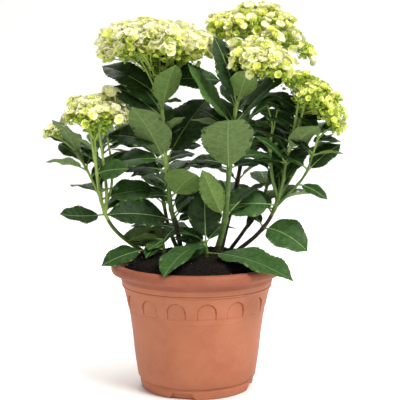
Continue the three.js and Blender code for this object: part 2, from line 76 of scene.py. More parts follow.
def linear(code: str) -> tuple[float, float, float, float]:
    """Turns an sRGB hex colour to linear.

    Args:
        code: The colour as "#rrggbb".

    Returns:
        Red, green, blue and an alpha of 1, linear.
    """
    parts = [int(code[i : i + 2], 16) / 255 for i in (1, 3, 5)]
    red, green, blue = (p / 12.92 if p <= 0.04045 else ((p + 0.055) / 1.055) ** 2.4 for p in parts)
    return red, green, blue, 1.0


def add_node(
    tree: NodeTree,
    kind: str,
    settings: dict[str, object] | None = None,
    inputs: dict[str | int, object] | None = None,
) -> bpy.types.Node:
    """Adds a node with its settings, values and links.

    Args:
        tree: The node tree that gets the node.
        kind: The node's type name.
        settings: Properties of the node and their values.
        inputs: Input sockets by name or number, each with a value or with the output socket to link from.

    Returns:
        The new node.
    """
    node = tree.nodes.new(kind)
    for name, value in (settings or {}).items():
        setattr(node, name, value)
    for name, value in (inputs or {}).items():
        if isinstance(value, bpy.types.NodeSocket):
            tree.links.new(value, node.inputs[name])
        else:
            node.inputs[name].default_value = value
    return node


def noise_at(tree: NodeTree, place: Socket, scale: float, detail: float, roughness: float = 0.5) -> Socket:
    """Returns a noise pattern of so many grains a metre.

    Args:
        tree: The node tree.
        place: The place that the pattern is read at.
        scale: Grains a metre.
        detail: How many finer layers it has.
        roughness: How strong they are.

    Returns:
        The socket of the pattern, about 0.5.
    """
    inputs = {"Vector": place, "Scale": scale, "Detail": detail, "Roughness": roughness}
    return add_node(tree, "ShaderNodeTexNoise", inputs=inputs).outputs["Fac"]


def stretched(
    tree: NodeTree, value: Socket, given: tuple[float, float], wanted: tuple[float, float] = (0.0, 1.0)
) -> Socket:
    """Returns a value whose given range is stretched to the wanted one.

    Args:
        tree: The node tree.
        value: The value.
        given: The range that is taken from it.
        wanted: The range that it gets.

    Returns:
        The socket of the new value.
    """
    inputs = {0: value, 1: given[0], 2: given[1], 3: wanted[0], 4: wanted[1]}
    return add_node(tree, "ShaderNodeMapRange", inputs=inputs).outputs["Result"]


def blended(tree: NodeTree, share: Socket, first: object, second: object) -> Socket:
    """Returns two colours mixed by a share of the second.

    Args:
        tree: The node tree.
        share: Share of the second colour.
        first: The first colour.
        second: The second colour.

    Returns:
        The socket of the mixed colour.
    """
    inputs = {"Factor": share, 6: first, 7: second}
    return add_node(tree, "ShaderNodeMix", {"data_type": "RGBA"}, inputs).outputs[2]


def bumped(
    tree: NodeTree, height: Socket, depth: float, strength: float, below: Socket | None = None
) -> Socket:
    """Returns the normal of a relief of some depth in metres, over another relief where one is given.

    Args:
        tree: The node tree.
        height: Height of the relief, from 0 to 1.
        depth: Its full height in metres.
        strength: How strongly it shows.
        below: The normal of the relief that it lies on.

    Returns:
        The socket of the normal.
    """
    inputs = {"Height": height, "Distance": depth, "Strength": strength}
    if below is not None:
        inputs["Normal"] = below
    return add_node(tree, "ShaderNodeBump", inputs=inputs).outputs["Normal"]


def smooth_step(low: float, high: float, value: float) -> float:
    """Returns 0 below low, 1 above high and a smooth rise between them."""
    share = min(1.0, max(0.0, (value - low) / (high - low)))
    return share * share * (3 - 2 * share)


def mix(a: float, b: float, share: float) -> float:
    """Returns the value at a share of the way from a to b."""
    return a + (b - a) * share


def add_object(name: str, data: bpy.types.ID) -> bpy.types.Object:
    """Returns a new object, which is in the scene.

    Args:
        name: The object's name.
        data: Its mesh, light or camera.

    Returns:
        The object.
    """
    made = bpy.data.objects.new(name, data)
    bpy.context.scene.collection.objects.link(made)
    return made


def smooth_mesh(name: str, vertices: Sequence[Vector], faces: Sequence[Sequence[int]]) -> bpy.types.Mesh:
    """Returns a new mesh with smooth faces.

    Args:
        name: The mesh's name.
        vertices: Its vertices, in metres.
        faces: Vertex numbers of each face.

    Returns:
        The mesh.
    """
    mesh = bpy.data.meshes.new(name)
    mesh.from_pydata(vertices, [], faces)
    mesh.polygons.foreach_set("use_smooth", [True] * len(faces))
    return mesh


@dataclass(frozen=True)
class Finish:
    """A surface of two close colours in soft patches, with a fine relief.

    Attributes:
        name: What the surface is.
        base: The main colour, sRGB hex.
        patch: The colour of the patches, sRGB hex.
        patch_mm: Size of a patch.
        relief_mm: Height of the fine relief.
        grain_mm: Width of a grain of the relief.
        roughness: Roughness of the surface.
        specular: Strength of its mirror-like part.
        spread: How sharply the patches stand out, 0 to 1.
        glow: Share of the light that wanders through it, as through a petal.
    """

    name: str
    base: str
    patch: str
    patch_mm: float
    relief_mm: float
    grain_mm: float
    roughness: float
    specular: float
    spread: float = 0.3
    glow: float = 0.0

    def material(self) -> bpy.types.Material:
        """Returns the finish's material, made once."""
        made = bpy.data.materials.get(self.name)
        return made or self._make()

    def _make(self) -> bpy.types.Material:
        """Returns the new node material.

        Returns:
            The material, whose patterns read object coordinates.
        """
        material = bpy.data.materials.new(self.name)
        material.use_nodes = True
        tree = material.node_tree
        tree.nodes.clear()
        place = add_node(tree, "ShaderNodeTexCoord").outputs["Object"]
        inputs = {
            "Base Color": self.colour(tree, place),
            "Roughness": self.roughness,
            "Specular IOR Level": self.specular,
            "Subsurface Weight": self.glow,
            "Subsurface Radius": (1.0, 1.0, 0.75),
            "Subsurface Scale": GLOW_DEPTH,
            "Normal": self.relief(tree, place),
        }
        shader = add_node(tree, "ShaderNodeBsdfPrincipled", {"subsurface_method": "BURLEY"}, inputs)
        add_node(tree, "ShaderNodeOutputMaterial", inputs={"Surface": shader.outputs["BSDF"]})
        return material

    def colour(self, tree: NodeTree, place: Socket) -> Socket:
        """Returns the two colours in patches, read at a place.

        Args:
            tree: The node tree.
            place: The place that the pattern is read at.

        Returns:
            The socket of the colour.
        """
        patches = noise_at(tree, place, 1 / (self.patch_mm * MM), 3.0, 0.6)
        share = stretched(tree, patches, (0.5 - self.spread / 2, 0.5 + self.spread / 2))
        return blended(tree, share, linear(self.base), linear(self.patch))

    def relief(self, tree: NodeTree, place: Socket) -> Socket:
        """Returns the normal of the fine relief, read at a place."""
        grain = noise_at(tree, place, 1 / (self.grain_mm * MM), 2.0)
        return bumped(tree, grain, self.relief_mm * MM, 0.6)


@dataclass(frozen=True)
class MouldedPlastic(Finish):
    """Moulded polypropylene in the colour of fired clay, with the mould's fine turning lines.

    Attributes:
        turning_mm: Distance between the turning lines.
        turning_depth_mm: Height of the turning lines.
        dust: Colour of the thin dust and scuffs on it, sRGB hex.
        dust_scale: Clouds of dust a metre.
        dust_most: Share of the dust's colour where it is thickest.
        speckle_scale: Grains of the speckle a metre.
        speckle: Darkest and lightest of the speckle, as shares of the colour.
    """

    turning_mm: float = 2.6
    turning_depth_mm: float = 0.04
    dust: str = "#c08d74"
    dust_scale: float = 30.0
    dust_most: float = 0.3
    speckle_scale: float = 900.0
    speckle: tuple[float, float] = (0.94, 1.05)

    def colour(self, tree: NodeTree, place: Socket) -> Socket:
        """Returns the clay colour in wide patches, with thin dust and a fine speckle over it.

        Args:
            tree: The node tree.
            place: The place that the pattern is read at.

        Returns:
            The socket of the colour.
        """
        body = super().colour(tree, place)
        clouds = noise_at(tree, place, self.dust_scale, 7.0, 0.75)
        share = stretched(tree, clouds, (0.5, 0.85), (0.0, self.dust_most))
        grains = noise_at(tree, place, self.speckle_scale, 1.0)
        speckle = stretched(tree, grains, (0.3, 0.7), self.speckle)
        inputs = {0: blended(tree, share, body, linear(self.dust)), "Scale": speckle}
        return add_node(tree, "ShaderNodeVectorMath", {"operation": "SCALE"}, inputs).outputs["Vector"]

    def relief(self, tree: NodeTree, place: Socket) -> Socket:
        """Returns the normal of the turning lines over the fine grain.

        Args:
            tree: The node tree.
            place: The place that the pattern is read at.

        Returns:
            The socket of the normal.
        """
        grain = super().relief(tree, place)
        inputs = {"Vector": place, "Scale": 1 / (self.turning_mm * MM) / 3.2, "Distortion": 0.6}
        lines = add_node(tree, "ShaderNodeTexWave", {"bands_direction": "Z"}, inputs).outputs["Fac"]
        return bumped(tree, lines, self.turning_depth_mm * MM, 0.5, grain)


def leaf_skin(name: str, base: str, patch: str, roughness: float, specular: float) -> Finish:
    """Returns the finish of an upper side, quilted and softly blotched.

    Args:
        name: Which green it is.
        base: Its main colour.
        patch: Colour of its patches.
        roughness: Its roughness.
        specular: Strength of its sheen.

    Returns:
        The finish.
    """
    return Finish(f"leaf upper side, {name}", base, patch, 6, 0.45, 3.0, roughness, specular)


def leaf_back(name: str, base: str, patch: str, roughness: float) -> Finish:
    """Returns the finish of an underside, netted and without wax."""
    return Finish(f"leaf underside, {name}", base, patch, 5, 0.4, 2.6, roughness, 0.15)


def vein(name: str, base: str, patch: str, roughness: float, specular: float) -> Finish:
    """Returns the finish of a vein or a leaf stalk, smooth and full of sap."""
    return Finish(name, base, patch, 6, 0.05, 1.2, roughness, specular)


def sepal(name: str, base: str, patch: str) -> Finish:
    """Returns the finish of a sepal, thin enough to glow."""
    return Finish(name, base, patch, 6, 0.06, 0.9, 0.7, 0.12, glow=0.7)


def plastic(name: str, base: str, patch: str) -> MouldedPlastic:
    """Returns the finish of the pot's outside, in one of its colours."""
    name = f"terracotta-coloured moulded plastic{name}"
    return MouldedPlastic(name, base, patch, 60, 0.05, 0.6, 0.6, 0.3)


class Leafy(Enum):
    """The finishes of a leaf's faces, each dealt out by leaf or by the part of the leaf."""

    # Painted shade: near black leaf green on leaves in the crown's shade, for depth behind the lit ones.
    SHADE = leaf_skin("deep shade green", "#17260f", "#273f1a", 0.6, 0.2)
    # Full-grown leaf, thinly waxed: dark and even, with a dull sheen that tells its quilting.
    DEEP = leaf_skin("deep green", "#1f3914", "#315321", 0.6, 0.2)
    # Leaf of this summer: the green that most of the front is known by.
    MID = leaf_skin("mid green", "#2b481d", "#3f602b", 0.58, 0.22)
    # Young leaf, soft and a little glossier: it stands out light against the others.
    FRESH = leaf_skin("fresh green", "#3a5c26", "#4e7034", 0.55, 0.25)
    # Underside without wax: greyish and quite matt, so a turned leaf is told at once.
    UNDER = leaf_back("grey green", "#5b703f", "#6c814d", 0.7)
    # Underside of a young leaf: the same, with more yellow in it.
    UNDER_FRESH = leaf_back("light green", "#5f7a3a", "#71894a", 0.68)
    # Vein sunk in the upper side: a quiet line, barely lighter than the blade.
    VEIN = vein("leaf vein, upper side", "#274318", "#345422", 0.6, 0.2)
    # Vein raised under the blade: a pale rib that catches the light from below.
    VEIN_UNDER = vein("leaf vein, underside", "#6b804e", "#778c58", 0.65, 0.2)
    # Midrib and stalk, full of sap: the pale line that shows which way a leaf runs.
    RIB = vein("leaf midrib and stalk, pale green", "#74904a", "#87a255", 0.5, 0.35)


UPPER_TONES = (Leafy.SHADE, Leafy.DEEP, Leafy.MID, Leafy.FRESH)


class Bark(Enum):
    """The finishes of the canes, from the soil up."""

    # Bark split and dried over years: brown, ridged and without any gloss.
    WOODY = Finish("cane bark, old and brown", "#302c1f", "#4a4531", 5, 0.35, 1.1, 0.75, 0.25, 0.25)
    # Skin of a cane in its second year: dull green, smooth, and a little shiny along its side.
    GREEN = Finish("cane skin, green", "#4a6428", "#5f7a36", 9, 0.12, 1.4, 0.5, 0.35)
    # Skin of this year's stem, tight with sap: pale, and the brightest line in the crown.
    YOUNG = Finish("young stem skin, yellow green", "#87a14a", "#98b158", 7, 0.08, 1.2, 0.5, 0.35)


class Bloom(Enum):
    """The finishes of the flower heads."""

    # Rim of an open sepal, bleached first: the near white edge that draws each floret.
    IVORY = sepal("sepal rim, ivory", "#f9f7e6", "#f3f1d6")
    # Open sepal, papery and thin: warm white that stays soft in its own shade.
    CREAM = sepal("sepal, cream", "#f3f1ca", "#ebebb2")
    # Half-open sepal: the yellow that lies between the cream and the green.
    LEMON = sepal("sepal, pale lemon", "#e4e880", "#d9e06c")
    # Young sepal that still works as a leaf: fresh green at the floret's foot.
    LIME = sepal("sepal, yellow green", "#b6c94f", "#a5bc43")
    # Closed bud, a smooth bead: small round lights between the florets.
    BUD = Finish("closed bud, light green", "#a2bc47", "#8eac3a", 3, 0.05, 0.6, 0.6, 0.2)
    # Flower stalk, juicy and fine: light green threads under each head.
    STALK = Finish("flower stalk, yellow green", "#8fa648", "#a2b757", 5, 0.06, 0.8, 0.55, 0.3)


class Earth(Enum):
    """The finishes of the pot and of what fills it."""

    # Polypropylene coloured through and moulded: even clay red with a soft, broad sheen.
    POT = plastic("", "#b57050", "#ab6547")
    # The same, darker from the collar up: painted shade cast by the lip and the leaves above.
    BRIM = plastic(", upper part", "#9c593f", "#914f38")
    # Painted shade in a crease of the mould: a thin dark line that draws niches and grooves.
    CREASE = Finish("moulded plastic, crease with old dirt", "#8a4b33", "#96563c", 12, 0.05, 0.6, 0.8, 0.15)
    # Milled peat, watered: almost black, crumbly and without any shine.
    PEAT = Finish("damp peat compost", "#100d0b", "#1f1915", 3.5, 0.9, 1.4, 0.95, 0.15, 0.2)
    # Crumb of peat that has begun to dry: a shade lighter, so the surface looks loose.
    CRUMB = Finish("compost crumb", "#17120f", "#2b231d", 3.0, 0.5, 0.9, 0.95, 0.15, 0.25)
    # Grain of sand or perlite mixed in: a rare pale speck on the dark.
    GRAIN = Finish("pale mineral grain", "#b9b3a4", "#8f887a", 2.0, 0.3, 0.6, 0.9, 0.2)


# Paper swept up behind the plant: flat white that throws no image back, so only the shadow shows.
PAPER = Finish("studio paper, matt white", "#f6f6f4", "#f3f3f1", 400, 0.02, 2.0, 0.95, 0.1)


class SeededNumbers:
    """Linear congruential numbers, the same as those of the solids."""

    def __init__(self, seed: int) -> None:
        """Starts the numbers from a seed."""
        self.state = seed

    def draw(self) -> float:
        """Returns the next number, from 0 to 1."""
        self.state = (self.state * 1664525 + 1013904223) % 2**32
        return self.state / 2**32

    def sway(self) -> float:
        """Returns the next number, from -1 to 1."""
        return self.draw() * 2 - 1

    def between(self, low: float, high: float) -> float:
        """Returns the next number, from low to high."""
        return mix(low, high, self.draw())


def direction(turn: float, rise: float) -> Vector:
    """Returns the unit vector that points turn degrees about Z from +X and rise degrees above level."""
    around, up = math.radians(turn), math.radians(rise)
    return Vector((math.cos(up) * math.cos(around), math.cos(up) * math.sin(around), math.sin(up)))


class Course:
    """Course of a cane or shoot: a curve through points, read by its share of length or by height."""

    DIVISIONS = 200

    def __init__(self, points: Sequence[Sequence[float]], radii: Sequence[float]) -> None:
        """Lays the curve.

        Args:
            points: Places that the curve goes through, from its foot to its tip.
            radii: Its radius at the foot and at the tip.
        """
        self.points = [Vector(p) for p in points]
        self.radii = radii
        places = [self._at(i / self.DIVISIONS) for i in range(self.DIVISIONS + 1)]
        self.lengths = [0.0]
        for a, b in zip(places, places[1:]):
            self.lengths.append(self.lengths[-1] + (b - a).length)
        self.length = self.lengths[-1]

    def _at(self, t: float) -> Vector:
        """Returns the place at a parameter from 0 to 1, even in steps between points.

        Args:
            t: The parameter.

        Returns:
            The place.
        """
        last = len(self.points) - 1
        step = min(int(t * last), last - 1)
        w = t * last - step
        p = self.points
        before = p[step - 1] if step > 0 else p[0] * 2 - p[1]
        after = p[step + 2] if step + 2 <= last else p[last] * 2 - p[last - 1]
        start, end = (p[step + 1] - before) / 2, (after - p[step]) / 2
        bend = (p[step] - p[step + 1]) * 2 + start + end
        turn = (p[step + 1] - p[step]) * 3 - start * 2 - end
        return bend * w**3 + turn * w**2 + start * w + p[step]

    def _parameter(self, share: float) -> float:
        """Returns the parameter at a share of the length.

        Args:
            share: The share, from 0 to 1.

        Returns:
            The parameter, from 0 to 1.
        """
        target = min(max(share, 0.0), 1.0) * self.length
        low, high = 0, self.DIVISIONS
        while high - low > 1:
            middle = (low + high) // 2
            if self.lengths[middle] <= target:
                low = middle
            else:
                high = middle
        span = self.lengths[high] - self.lengths[low]
        return (low + (target - self.lengths[low]) / span) / self.DIVISIONS

    def point(self, share: float) -> Vector:
        """Returns the place at a share of the length."""
        return self._at(self._parameter(share))

    def tangent(self, share: float) -> Vector:
        """Returns the way that the curve runs at a share of the length."""
        t = self._parameter(share)
        return (self._at(min(1.0, t + 1e-4)) - self._at(max(0.0, t - 1e-4))).normalized()

    def radius(self, share: float) -> float:
        """Returns the radius at a share of the length."""
        return mix(self.radii[0], self.radii[1], share)

    def share_at(self, height: float) -> float:
        """Returns the share of the length at which the curve reaches a height.

        Args:
            height: The height.

        Returns:
            The share, from 0 to 1.
        """
        low, high = 0.0, 1.0
        for _ in range(30):
            middle = (low + high) / 2
            if self.point(middle).z < height:
                low = middle
            else:
                high = middle
        return (low + high) / 2

    def at_height(self, height: float) -> Vector:
        """Returns the place at which the curve reaches a height."""
        return self.point(self.share_at(height))


@dataclass(frozen=True)
class Leaf:
    """One leaf of the table.

    Attributes:
        height: Height of its node.
        turn: The way it points, degrees about Z from +X.
        rise: Degrees above level.
        length: Its length with its stalk.
        roll: How far its upper side rolls about its own axis, degrees.
        width: Width of the blade, or None for the usual share of its length.
        arch: Degrees that it bends over its length.
        stalk: Share of its length that is stalk.
        sways: Whether the seeded growth sways it.
        tone: Finish of its upper side, or None where the growth deals it out.
    """

    height: float
    turn: float
    rise: float
    length: float
    roll: float = 0.0
    width: float | None = None
    arch: float = 35.0
    stalk: float = 0.16
    sways: bool = False
    tone: Leafy | None = None


def pair(height: float, turn: float, rise: float, length: float) -> list[Leaf]:
    """Returns the two opposite leaves of one node, which the seeded growth sways."""
    return [Leaf(height, turn + side, rise, length, sways=True) for side in (0, 180)]


@dataclass(frozen=True)
class Head:
    """One flower head of the table.

    Attributes:
        name: Its name, which its node has too.
        spread: Radius of the head.
        height: Height of its dome over the hub.
        lean: The way it leans and by how many degrees.
        florets: How many florets the solid has.
        rays: How many rays stand round the middle one.
        drop: Share of its height by which the dome falls to its rim.
        openness: Share of the florets whose sepals are open and cream.
        fineness: Size of its florets over the usual size.
        under: Size of the greener tuft under each tuft, over that tuft's own size.
        large: Its large open florets: turn, share of the spread, lift above the dome and radius.
        spurs: Its tufts besides those of the solid, each given in the same way.
    """

    name: str
    spread: float
    height: float
    lean: tuple[float, float]
    florets: int
    rays: int = 6
    drop: float = 0.55
    openness: float = 0.4
    fineness: float = 1.0
    under: float = 0.72
    large: Spurs = ()
    spurs: Spurs = ()


@dataclass(frozen=True)
class Shoot:
    """One leafy side shoot, or a short shoot straight from the soil.

    Attributes:
        course: Points of its course, after its start on the cane.
        leaves: Its leaves.
        start: Height at which it leaves its cane.
        flower_from: Height at which its flower stalk begins, or None.
        head: Its flower head, or None.
    """

    course: list[tuple[float, float, float]]
    leaves: list[Leaf]
    start: float = 0.0
    flower_from: float | None = None
    head: Head | None = None


@dataclass(frozen=True)
class Cane:
    """One cane of the table.

    Attributes:
        name: Its name, which its nodes have too.
        seed: Seed of its growth.
        course: Points of its course, from the soil to the hub of its flower head.
        radii: Radius at the soil and at the hub.
        leafy_from: Height at which its leafy stem begins.
        flower_from: Height at which its flower stalk begins, or None.
        leaves: Its leaves.
        shoots: Its side shoots.
        head: Its flower head, or None.
        woody_to: Height up to which its bark is brown.
    """

    name: str
    seed: int
    course: list[tuple[float, float, float]]
    radii: tuple[float, float]
    leafy_from: float
    flower_from: float | None
    leaves: list[Leaf]
    shoots: list[Shoot] = field(default_factory=list)
    head: Head | None = None
    woody_to: float = 0.0


# Leaves whose upper side has a tone of its own; shade puts painted shade on a leaf
shade, deep, mid, fresh = (partial(Leaf, tone=tone) for tone in UPPER_TONES)

# The canes, each with its leaves, shoots and flower head, by the rule of the solids
CANES = [
    Cane(
        name="left",
        seed=11,
        course=[(-74, 20, 184), (-112, 6, 216), (-129, -5, 248), (-137, -14, 295), (-139, -25, 352)],
        radii=(3, 1.9),
        leafy_from=234,
        flower_from=343,
        leaves=[
            shade(243, -145, 4, 71, -33, arch=-22),
            Leaf(246, 40, 24, 48, 12),
            mid(264, 24, 6, 86, 38),
            shade(274, 84, 47, 62, -25),
            mid(300, -38, 9, 62, 62),
            *pair(272, 140, 8, 70),
            Leaf(333, -147, 28, 40, 15, width=9),
        ],
        shoots=[
            Shoot(
                start=266,
                course=[(-153, 2, 304), (-172, 7, 332), (-196, 9, 351)],
                flower_from=345,
                head=Head("far_left", 13, 12, (180, 12), 5, rays=2, openness=0.9, large=(
                    (-120, 0.7, 2, 8), (-150, 0.9, -4, 8),
                )),
                leaves=[
                    deep(304, -153, 12, 62, 17),
                    deep(318, 141, 26, 50, -34),
                    Leaf(320, -130, 47, 76, -6),
                    Leaf(330, 106, 30, 52, 0),
                ],
            ),
            Shoot(
                start=262,
                course=[(-133, 8, 304), (-132, 22, 338)],
                leaves=[
                    deep(334, 18, 31, 66, 17),
                    Leaf(330, 92, 34, 66, -10),
                    *pair(308, 30, 24, 50),
                ],
            ),
        ],
        head=Head("left", 43, 53, (0, 5), 18, drop=0.5, openness=0.42, under=0.85, large=(
            (-14, 1.0, 8, 13), (-40, 0.8, 2, 11), (-110, 0.6, -2, 9), (-150, 0.8, -4, 9), (-80, 0.5, 2, 9),
        ), spurs=((0, 0.5, 17, 12), (30, 0.72, 14, 10), (172, 0.76, 9, 9))),
        woody_to=188,
    ),
    Cane(
        name="centre_left",
        seed=23,
        course=[
            (-22, 25, 184), (-28, 8, 222), (-36, -4, 252), (-42, -19, 315), (-45, -28, 370),
            (-52, -22, 430),
        ],
        radii=(3.4, 2.2),
        leafy_from=225,
        flower_from=402,
        leaves=[
            shade(232, -154, 8, 104, -40),
            shade(236, 46, 31, 70, 30),
            Leaf(264, -62, 27, 90, -30, width=56),
            Leaf(268, 140, 25, 74, 0),
            Leaf(292, 62, 22, 60, 0),
            Leaf(311, -131, 51, 106, 19),
            shade(316, 32, 52, 112, 33, width=64),
            Leaf(350, 105, 44, 74, 0),
            Leaf(354, -48, 30, 50, 0),
            deep(384, 150, 42, 90, -34),
            Leaf(386, -67, 50, 80, 6),
        ],
        head=Head("centre_left", 78, 75, (0, 3), 28, drop=0.34, openness=0.7, large=(
            (-172, 0.98, -20, 13), (-160, 0.9, -18, 12), (-148, 0.8, -8, 12), (178, 1.02, -6, 12),
            (-128, 0.76, -12, 10), (-94, 0.6, -6, 11), (-50, 0.86, -4, 11), (-20, 0.98, -12, 10),
        ), spurs=(
            (-165, 0.86, -20, 14), (-140, 0.84, -14, 13), (172, 0.9, 2, 14), (178, 1.0, 4, 12),
            (-170, 0.8, 5, 12), (180, 0.3, 3, 12), (-178, 0.94, -26, 12),
        )),
        woody_to=238,
    ),
    Cane(
        name="back_left",
        seed=37,
        course=[(-28, 48, 184), (-42, 66, 216), (-52, 86, 262), (-62, 102, 304), (-74, 116, 345)],
        radii=(3, 2),
        leafy_from=236,
        flower_from=334,
        leaves=[
            *pair(248, 150, 14, 86),
            *pair(270, 62, 22, 84),
            *pair(294, 155, 30, 84),
            *pair(318, 70, 34, 76),
        ],
        head=Head("back_left", 44, 46, (110, 12), 14, openness=0.4, large=(
            (60, 0.9, 0, 9), (150, 0.9, 0, 8),
        )),
        woody_to=240,
    ),
    Cane(
        name="centre",
        seed=41,
        course=[
            (26, 0, 184), (34, -11, 214), (40, -22, 245), (43, -38, 296), (49, -47, 360), (55, -51, 400),
            (79, -50, 430),
        ],
        radii=(4, 2.4),
        leafy_from=228,
        flower_from=410,
        leaves=[
            Leaf(235, -120, 50, 98, 40, width=30, arch=8),
            shade(239, 20, 36, 84, -2, stalk=0.38),
            Leaf(272, 135, 20, 62, 0),
            Leaf(302, -92, 40, 120, 5, width=68, arch=62, stalk=0.1),
            deep(309, 45, 2, 68, 17),
            shade(313, 166, 7, 54, -30),
            fresh(366, -169, 53, 104, -35, width=42, arch=-12),
            deep(369, -4, 44, 112, 24, width=44, arch=14),
            Leaf(388, 110, 40, 56, 0),
            Leaf(396, -72, 46, 60, -20, width=36),
        ],
        head=Head("centre", 48, 48, (-72, 20), 19, openness=0.36, large=(
            (170, 0.9, 4, 9), (-150, 0.8, 2, 8), (10, 1.0, 2, 9), (-30, 0.95, 0, 8),
        ), spurs=((170, 0.8, 10, 11),)),
        woody_to=200,
    ),
    Cane(
        name="back_right",
        seed=53,
        course=[(34, 26, 184), (42, 40, 216), (53, 58, 256), (64, 70, 307), (75, 76, 380), (86, 78, 474)],
        radii=(3.4, 2.2),
        leafy_from=240,
        flower_from=448,
        leaves=[
            *pair(258, 112, 20, 84),
            *pair(284, 160, 26, 80),
            shade(307, -171, 56, 98, -57),
            Leaf(311, 30, 30, 60, 0),
            *pair(346, 110, 34, 78),
            shade(392, 140, 58, 68, -25),
            shade(401, -172, 58, 106, -44, width=48, arch=-20),
            Leaf(405, 20, 34, 70, 0),
            Leaf(426, 95, 36, 72, 0),
        ],
        head=Head("back_right", 80, 62, (0, 16), 26, drop=0.82, openness=0.2, under=0.4, large=(
            (-170, 0.98, 4, 10), (-90, 0.2, 4, 9), (-20, 1.0, -2, 9), (160, 0.9, 0, 9),
        ), spurs=((0, 1.04, 8, 12), (-24, 1.0, 6, 11), (180, 0.92, 7, 11), (180, 0.1, 3, 9))),
        woody_to=252,
    ),
    Cane(
        name="right",
        seed=67,
        course=[
            (58, 40, 184), (86, 25, 210), (105, 14, 238), (118, 4, 278), (127, -2, 330), (145, -6, 388),
        ],
        radii=(3, 1.9),
        leafy_from=212,
        flower_from=366,
        leaves=[
            mid(219, -34, -20, 84, 40, width=50, arch=85),
            shade(221, 140, 34, 48, -4),
            Leaf(254, 54, 26, 58, 6),
            mid(254, -171, -1, 84, -48, width=50),
            deep(314, -145, 34, 70, -52, width=18),
            Leaf(328, -50, 34, 70, -17),
            shade(352, 143, 26, 48, -16),
        ],
        shoots=[
            Shoot(
                start=264,
                course=[(140, 22, 303), (155, 29, 335), (166, 34, 358)],
                leaves=[
                    deep(321, -19, 7, 56, 11),
                    Leaf(326, 110, 30, 66, 0),
                    *pair(344, 50, 30, 56),
                ],
            ),
            Shoot(
                start=250,
                course=[(147, -8, 294), (160, -16, 330), (168, -22, 362)],
                leaves=[
                    deep(285, -43, -20, 54, 28, width=20),
                    shade(300, 14, 38, 66, 36),
                    deep(344, 39, -1, 48, 21),
                    Leaf(348, -16, 30, 46, 0),
                ],
            ),
            Shoot(
                start=258,
                course=[(106, 24, 300), (106, 36, 337), (104, 42, 368)],
                leaves=[*pair(318, 150, 24, 50), Leaf(338, 140, 48, 44, -33), Leaf(356, 40, 40, 52, 0)],
            ),
        ],
        head=Head("right", 57, 45, (-8, 38), 19, openness=0.0, fineness=0.72, under=0.5, spurs=(
            (0, 1.08, -4, 11), (-20, 1.06, -10, 9), (-28, 1.0, -8, 11), (30, 0.95, 0, 10),
            (-170, 0.9, -6, 11), (-110, 0.9, -10, 9), (0, 0.55, 7, 9), (2, 0.82, 3, 8), (-18, 0.92, 1, 8),
        )),
        woody_to=222,
    ),
    Cane(
        name="far_right",
        seed=79,
        course=[
            (50, 62, 184), (66, 70, 204), (87, 82, 234), (104, 94, 270), (114, 102, 312), (120, 108, 342),
        ],
        radii=(2.8, 1.6),
        leafy_from=230,
        flower_from=None,
        leaves=[
            *pair(246, 20, 14, 78),
            *pair(268, 96, 24, 76),
            *pair(294, 22, 30, 72),
            *pair(322, 100, 38, 62),
        ],
        woody_to=246,
    ),
]

# Short shoots at the rim: the seed, the radii at foot and tip, and the shoot
LOW_SHOOTS = {
    "low_left": (
        83,
        (2.4, 1.8),
        Shoot(
            course=[(-46, 2, 184), (-48, 0, 208)],
            leaves=[
                deep(193, -152, -10, 98, -30, stalk=0.42, arch=45),
                shade(204, 150, 0, 62, -28),
                Leaf(206, -143, 4, 58, 37, width=20),
                Leaf(197, -112, 2, 50, -3),
            ],
        ),
    ),
    "low_front": (
        89,
        (2.6, 2),
        Shoot(
            course=[(14, -16, 184), (12, -20, 208)],
            leaves=[
                mid(200, -118, -12, 122, 8, width=50, arch=45),
                mid(190, -38, -9, 146, 8, width=64, arch=32),
                shade(200, 96, 76, 88, -10, width=46, arch=25),
                Leaf(205, -165, 20, 44, 0),
            ],
        ),
    ),
    "low_back": (
        97,
        (2.4, 1.8),
        Shoot(
            course=[(-6, 66, 184), (-8, 70, 204)],
            leaves=[Leaf(194, 84, 0, 88, 0, arch=45), Leaf(200, 134, 8, 80, 0), Leaf(201, 22, 6, 74, 0)],
        ),
    ),
}

